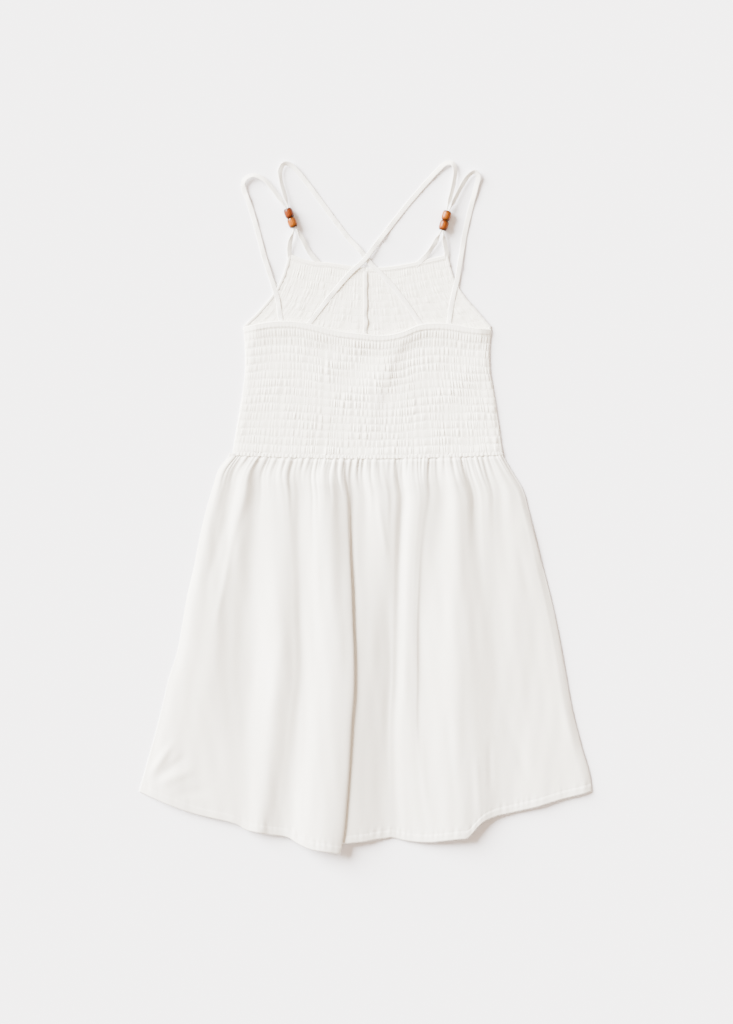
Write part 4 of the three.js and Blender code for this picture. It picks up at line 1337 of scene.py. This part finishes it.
        left, right = (outer, inner) if side < 0 else (inner, outer)
        across = np.linspace(0, 1, self.front_columns)
        top_x, bottom_x = (between(left[n, 0], right[n, 0], across) for n in (0, -1))
        top = np.stack([top_x, FRONT_NECK.height(top_x)], axis=1)
        bottom = np.stack([bottom_x, waist_y(bottom_x)], axis=1)
        left[-1, 1], right[-1, 1] = bottom[0, 1], bottom[-1, 1]
        plan = patch(left, right, top, bottom, rows)
        numbers, shirred = self.banded(len(hem_rows), ribs, len(hidden))
        wobble = Ripples(51 + side, (16, 50), (12, 40))
        free = 0.8 * shirred * ease(ribs_in(numbers))
        plan[..., 1] += free[:, None] * wobble.over(plan)
        drawn = Puckers(53 + side, FRONT_RIBS, self.front_drawn, pitch=3.7, drift=0.75)
        puckers = drawn.heights(across * self.front_width)
        strength = 1 + 0.35 * Ripples(55 + side, (12, 45), (12, 45)).over(plan)
        relief = Shirring(rib_height=0.22, pucker_height=0.21).relief(numbers, puckers)
        relief = relief * strength * shirred[:, None]
        relief = relief * (0.2 + 0.8 * ease(np.abs(plan[..., 0] - centre) / 9))
        hem = np.concatenate([1 - ease((shown - NECK_HEM_SHARE) / 0.02), np.zeros(len(hidden))])
        relief += (0.5 * hem)[:, None]
        half = np.full(relief.shape, 0.62)
        middle = np.concatenate([plan, half[..., None] + 0.03], axis=-1)
        lines = len(hem_rows) + np.arange(FRONT_RIBS + 1) * self.rib_rows
        return Shell(middle, half, relief, under_step=5), lines

    def binding(self, side: int) -> Sweep:
        """The bias binding of one armhole: a rounded bar down the middle of the bound edge.

        Args:
            side: -1 for the left armhole and 1 for the right one.

        Returns:
            The bar.
        """
        armhole = ARMHOLE_LEFT if side < 0 else ARMHOLE_RIGHT
        line = armhole.moved(-side * BINDING_WIDTH / 2).at(np.linspace(0.012, 1.04, 110))
        run = np.linspace(0, 1, len(line))
        tangent = unit(np.gradient(line, axis=0))
        sideways = np.stack([-tangent[:, 1], tangent[:, 0], np.zeros(len(line))], axis=1)
        wave = Ripples(61 + side, (0.05, 0.16), (5, 9)).at(run, run)
        height = BINDING_HEIGHT / 2 * (0.84 + 0.03 * wave)
        path = np.concatenate([line, height[:, None]], axis=1)
        path[:, :2] += sideways[:, :2] * (0.05 * wave)[:, None]
        across = sideways * (BINDING_WIDTH / 2 * (0.98 + 0.02 * wave))[:, None]
        return Sweep(path, across, np.array([[0, 0, 1.0]]) * height[:, None], squareness=0.62)

    def allowance(self) -> Sweep:
        """The front's centre seam allowance: a soft flat bar that wavers a little on its way down."""
        run = np.linspace(0, 1, 90)
        wave = Ripples(71, (0.12, 0.4), (5, 9)).at(run, run)
        y = between(ALLOWANCE_TOP_Y, ALLOWANCE_END_Y, run)
        z = ON_FRONT - STRAP_THICKNESS / 2 + ALLOWANCE_HEIGHT / 2 - self.allowance_sunk + 0.05 * wave
        z = z - 0.9 * (1 - ease(run / 0.08))
        path = np.stack([SEAM_X + 0.1 * wave, y, z], axis=1)
        half = ALLOWANCE_WIDTH / 2 * (0.97 + 0.03 * wave)
        across = np.stack([half, np.zeros(90), 0.1 * wave], axis=1)
        thick = np.tile([0, 0, ALLOWANCE_HEIGHT * 0.42], (90, 1))
        return Sweep(path, across, thick, squareness=0.75)

    def build(self) -> None:
        """Makes the panels, bindings, allowance and stitches."""
        shirring = Seams(Thread(length=2.2, pitch=2.8))
        back, lines = self.back()
        for row in lines:
            shirring.on_shell(back, row)
        shirring.on_shell(back, 2)
        stitches = dress(shirring.piece("back_shirring_stitches"), self.wardrobe.thread, Slot.TAPE)
        panel = dress(back.piece("bodice_back_panel"), self.wardrobe.shirred, Slot.SHIRRED, "bodice_back")
        for side, word in ((-1, "left"), (1, "right")):
            seams = Seams(Thread(length=2.0, pitch=2.6, radius=0.2))
            shell, lines = self.front(side)
            for row in lines:
                seams.on_shell(shell, row)
            seams.on_shell(shell, 6)
            threads = dress(seams.piece(f"front_stitches_{word}"), self.wardrobe.thread, Slot.TAPE)
            node = f"bodice_front_{word}"
            panel = dress(shell.piece(f"{node}_panel"), self.wardrobe.shirred, Slot.SHIRRED, node)
            node = f"armhole_binding_{word}"
            strip = dress(self.binding(side).piece(f"{node}_strip"), self.wardrobe.plain, Slot.PLAIN, node)
        node = "front_seam_allowance"
        strip = dress(self.allowance().piece(f"{node}_strip"), self.wardrobe.plain, Slot.PLAIN, node)


def ribs_in(numbers: Array) -> Array:
    """How far a rib number lies from its stitched line, as twice a share, so a line itself stays put."""
    return 2 * np.abs(numbers - np.round(numbers))


@dataclass(frozen=True)
class BeadPair:
    """Where a pair of beads sits: its middle, and the direction down the straps."""

    middle: tuple[float, float]
    down: tuple[float, float]


BEAD_PAIRS = {
    "left": BeadPair((-78.9, 306.5), (0.344, -0.939)),
    "right": BeadPair((84.9, 303.8), (-0.265, -0.964)),
}


@dataclass(frozen=True)
class Strap:
    """One strap: from under the back hem over the shoulder, bunched through two beads, to the neckline.

    The rows are x, y, z and roll; roll 0 lies flat and 90 stands on its edge.
    """

    name: str
    beads: str
    side: int
    back: tuple[tuple[float, float, float, float], ...]
    leg: tuple[tuple[float, float, float, float], ...]
    samples_per_step: int = 11
    settled: float = 1.75            # how far the strap presses into the gathers under it
    upright: float = 50.0            # roll from which a loose tape leans back the most
    leaning: float = 0.66            # share of the roll that it then loses
    fuller: float = 0.4              # wider than the solid where loose
    tighter: float = 0.5             # narrower than the solid where bunched
    thinner: float = 0.25

    def rows(self) -> Array:
        """All control rows: x, y, z, roll and how far the tape is bunched."""
        pair = BEAD_PAIRS[self.beads]
        along, apart = np.array(BUNCHED, float).T
        beside = self.side * apart * (BUNCH_THICKNESS + GAP) / 2
        x = pair.middle[0] + pair.down[0] * along - pair.down[1] * beside
        y = pair.middle[1] + pair.down[1] * along + pair.down[0] * beside
        bunched = np.stack([x, y, np.full(5, BEAD_RADIUS), np.full(5, 90.0), np.ones(5)], axis=1)
        parts = (np.array(part, float) for part in (self.back, self.leg))
        back, leg = (np.column_stack([part, np.zeros(len(part))]) for part in parts)
        return np.concatenate([back, bunched, leg])

    def route(self, points: Array, places: Array) -> Array:
        """Centripetal Catmull-Rom curve: the knots lie the root of a chord apart, ends are mirrored.

        Args:
            points: control points.
            places: numbers of the control points with fractions.

        Returns:
            Points of the curve.
        """
        padded = np.concatenate([[2 * points[0] - points[1]], points, [2 * points[-1] - points[-2]]])
        k = np.minimum(places.astype(int), len(points) - 2)
        p0, p1, p2, p3 = (padded[k + n] for n in range(4))
        chords = (p1 - p0, p2 - p1, p3 - p2)
        d0, d1, d2 = (np.sqrt(np.linalg.norm(chord, axis=1))[:, None] for chord in chords)
        t1 = ((p1 - p0) / d0 - (p2 - p0) / (d0 + d1) + (p2 - p1) / d1) * d1
        t2 = ((p2 - p1) / d1 - (p3 - p1) / (d1 + d2) + (p3 - p2) / d2) * d1
        t = (places - k)[:, None]
        bend = -3 * p1 + 3 * p2 - 2 * t1 - t2
        twist = 2 * p1 - 2 * p2 + t1 + t2
        return p1 + t1 * t + bend * t ** 2 + twist * t ** 3

    def sweep(self, seed: int) -> Sweep:
        """The tape: its section turns by the roll, and narrows and thickens where it is bunched."""
        rows = self.rows()
        places = np.linspace(0, len(rows) - 1, (len(rows) - 1) * self.samples_per_step + 1)
        path = self.route(rows[:, :3], places)
        k = np.minimum(places.astype(int), len(rows) - 2)
        share = ease(places - k)
        roll, bunch = (rows[k, n] * (1 - share) + rows[k + 1, n] * share for n in (3, 4))
        roll = -roll * (1 - self.leaning * ease(roll / self.upright) * (1 - bunch))
        run = run_length(path)
        wave = Ripples(seed, (14, 40), (400, 900)).at(run, run)
        turn = np.radians(roll + 4 * wave * (1 - bunch))
        loose, bunched = STRAP_WIDTH + self.fuller, BUNCH_WIDTH - self.tighter
        width = between(loose, bunched, bunch) + 0.12 * wave * (1 - bunch)
        thickness = STRAP_THICKNESS - self.thinner + (BUNCH_THICKNESS - STRAP_THICKNESS) * bunch
        tangent = unit(np.gradient(path, axis=0))
        level = unit(np.cross([0, 0, 1.0], tangent))
        raised = np.cross(tangent, level)
        across = (level * np.cos(turn)[:, None] + raised * np.sin(turn)[:, None]) * (width / 2)[:, None]
        thick = (raised * np.cos(turn)[:, None] - level * np.sin(turn)[:, None]) * (thickness / 2)[:, None]
        path[:, 2] = np.maximum(path[:, 2], np.abs(across[:, 2]) + np.abs(thick[:, 2]))
        on_dress = ease((path[:, 2] - 2.0) / 1.2) * (1 - ease((run - run[-1] * 0.4) / 20))
        path[:, 2] -= self.settled * on_dress
        return Sweep(path, across, thick, squareness=0.8)

    def build(self, wardrobe: Wardrobe, seed: int) -> None:
        """Makes the tape and the stitches along both its edges."""
        sweep = self.sweep(seed)
        seams = Seams(Thread(length=1.9, pitch=2.5, radius=0.14, lift=0.02))
        for edge in (-0.72, 0.72):
            for face in (-1, 1):
                up = unit(sweep.thick) * face
                seams.add(sweep.path + sweep.across * edge + sweep.thick * face * 0.98, up)
        stitches = dress(seams.piece(f"{self.name}_stitches"), wardrobe.thread, Slot.TAPE)
        tape = dress(sweep.piece(f"{self.name}_tape"), wardrobe.tape, Slot.TAPE, self.name)


STRAPS = (
    Strap(
        "strap_left_outer", "left", -1,
        (
            (-88, 190.5, ON_FRONT, 0), (-90, 203, ON_FRONT, 0), (-93, 222, ON_FRONT, 0), (-98.3, 239, 3.1, 0),
            (-106.4, 264, 1.3, 0), (-114.5, 294.7, LOW, 4), (-122.7, 321.6, LOW + 0.3, 14),
            (-128, 336, 1.6, 40), (-129.2, 344, 2.6, 66), (-124.6, 350, 3.1, 74), (-116.8, 352, 3.2, 76),
            (-107, 347.4, 3.3, 76), (-98, 337.4, 3.7, 80), (-89.6, 325.8, 4.3, 80),
        ),
        ((-79.6, 280.4, 3.7, 44), (-80.4, 271, 2.2, 10), (-79.2, 262.4, LEG_END, 0)),
    ),
    Strap(
        "strap_left_inner", "left", 1,
        (
            (61.5, 190.5, ON_FRONT, 0), (55, 200, ON_FRONT, 0), (39.2, 222.6, ON_FRONT, 0),
            (22, 243, ON_FRONT, 0), (6.4, 257.6, ON_FRONT, 0), (-5, 272, 2.2, 0),
            (-18.4, 286.5, LOW, 0), (-34.8, 308.1, LOW, 0),
            (-59, 340.6, LOW, 6), (-70.5, 355, 1.3, 26), (-79, 363.2, 2.2, 56), (-85.6, 364.4, 3, 72),
            (-90, 357.4, 3.3, 80), (-89.4, 347.6, 3.6, 80), (-85, 330.4, 4.3, 80),
        ),
        ((-67.2, 285.6, 3.7, 44), (-59, 270.4, 2.2, 10), (-47.4, 257.2, LEG_END, 0)),
    ),
    Strap(
        "strap_right_inner", "right", -1,
        (
            (-64, 189, ON_FRONT, 0), (-57, 197.6, ON_FRONT, 0), (-41.6, 217.6, ON_FRONT, 0),
            (-15.4, 248.4, 4.1, 0), (-2, 260.6, CROSSING, 0), (9.6, 275.4, 4.2, 0), (24.4, 294.7, LOW, 0),
            (51.5, 328.6, LOW, 0), (78.4, 358.3, 1.3, 14), (86, 364.6, 2.3, 48), (92.6, 364.8, 3, 72),
            (95.6, 357.6, 3.3, 80), (94.4, 345.6, 3.6, 80), (90.3, 327.4, 4.3, 80),
        ),
        ((74.6, 281, 3.7, 44), (65.6, 267.6, 2.2, 10), (53, 255.2, LEG_END, 0)),
    ),
    Strap(
        "strap_right_outer", "right", 1,
        (
            (89, 188.6, ON_FRONT, 0), (89.7, 200, ON_FRONT, 0), (93.4, 222, ON_FRONT, 0),
            (98, 242, ON_FRONT, 0), (101.6, 263.5, 1.4, 0), (107, 294.7, LOW, 0),
            (113.4, 321.6, LOW, 4), (118.6, 341.6, 1.4, 30),
            (120.4, 351, 2.6, 64), (116.6, 355.6, 3.1, 74), (110.6, 352.4, 3.3, 78), (102.6, 341, 3.6, 80),
            (94.4, 325, 4.3, 80),
        ),
        ((84.4, 281, 3.7, 44), (86.4, 271, 2.2, 10), (86.4, 262.6, LEG_END, 0)),
    ),
)


@dataclass(frozen=True)
class Bead:
    """A turned barrel of wood, threaded on two straps."""

    pair: BeadPair
    place: int                       # 0 is the upper one of its pair, 1 the lower one
    finish: WoodFinish
    sides: int = 56

    def profile(self) -> Array:
        """Radius along the axis: a barrel whose ends round over into the hole, as a closed loop."""
        half = BEAD_LENGTH / 2 + 0.2
        knots = np.array([
            (-half * 0.84, BEAD_HOLE), (-half * 0.97, BEAD_HOLE + 0.22), (-half, BEAD_END_RADIUS - 0.75),
            (-half * 0.94, BEAD_END_RADIUS - 0.2), (-half * 0.76, BEAD_RADIUS * 0.89),
            (-half * 0.42, BEAD_RADIUS * 0.98), (0, BEAD_RADIUS), (half * 0.42, BEAD_RADIUS * 0.98),
            (half * 0.76, BEAD_RADIUS * 0.89), (half * 0.94, BEAD_END_RADIUS - 0.2),
            (half, BEAD_END_RADIUS - 0.75), (half * 0.97, BEAD_HOLE + 0.22), (half * 0.84, BEAD_HOLE),
        ])
        fine = along_columns(knots[None], 4)[0]
        hole = np.linspace(fine[-1], fine[0], 8)[1:-1]
        return np.concatenate([fine, hole])

    def build(self, name: str, grain: bpy.types.NodeTree) -> None:
        """Turns the profile about the bead's axis, a touch out of round, and moves it to its place."""
        along, radius = self.profile().T
        angle = np.linspace(0, 2 * np.pi, self.sides, endpoint=False)
        out = radius[:, None] * (1 + 0.008 * np.sin(2 * angle + self.place))
        local = np.stack([
            np.broadcast_to(along[:, None], out.shape), out * np.cos(angle), out * np.sin(angle),
        ], axis=-1)
        count = len(along)
        numbers = np.arange(count * self.sides).reshape(count, self.sides)
        loop = np.concatenate([numbers, numbers[:1]])
        loop = np.concatenate([loop, loop[:, :1]], axis=1)
        axis = np.array([*self.pair.down, 0.0])
        level = np.array([-self.pair.down[1], self.pair.down[0], 0.0])
        shift = (self.place - 0.5) * BEAD_SPACING
        centre = np.array([*self.pair.middle, BEAD_RADIUS]) + axis * shift
        flat = local.reshape(-1, 3)
        points = centre + flat[:, :1] * axis + flat[:, 1:2] * level + flat[:, 2:] * np.array([0, 0, 1.0])
        none = np.zeros((0, 3), int)
        piece = store_mesh(f"{name}_turned", points, grid_quads(loop.T), none, flat[:, :2] * MM)
        stored = piece.data.attributes.new("turned", "FLOAT_VECTOR", "POINT")
        stored.data.foreach_set("vector", (flat * MM).astype(np.float32).ravel())
        dress(piece, self.finish.material(grain), Slot.WOOD, name)


BEADS = {
    "bead_left_upper": Bead(BEAD_PAIRS["left"], 0, WoodFinish(
        "bead_wood_red", (0.19, 0.034, 0.002, 1), (0.06, 0.008, 0.001, 1), 0.013)),
    "bead_left_lower": Bead(BEAD_PAIRS["left"], 1, WoodFinish(
        "bead_wood_amber", (0.32, 0.088, 0.002, 1), (0.12, 0.024, 0.001, 1), 0.041)),
    "bead_right_upper": Bead(BEAD_PAIRS["right"], 0, WoodFinish(
        "bead_wood_brown", (0.33, 0.092, 0.002, 1), (0.11, 0.022, 0.001, 1), 0.077)),
    "bead_right_lower": Bead(BEAD_PAIRS["right"], 1, WoodFinish(
        "bead_wood_russet", (0.26, 0.062, 0.002, 1), (0.085, 0.014, 0.001, 1), 0.102)),
}


def main(cad_box: tuple) -> None:
    """Builds the studio and the dress.

    Args:
        cad_box: the frame's box before anything was added; not used.
    """
    Studio().build()
    wardrobe = Wardrobe()
    Skirt(wardrobe).build()
    Bodice(wardrobe).build()
    for seed, strap in enumerate(STRAPS, start=81):
        strap.build(wardrobe, seed)
    for name, bead in BEADS.items():
        bead.build(name, wardrobe.grain)


if __name__ == "__main__":
    logging.basicConfig(level=logging.INFO, format="%(name)s: %(message)s")
    main(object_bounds())
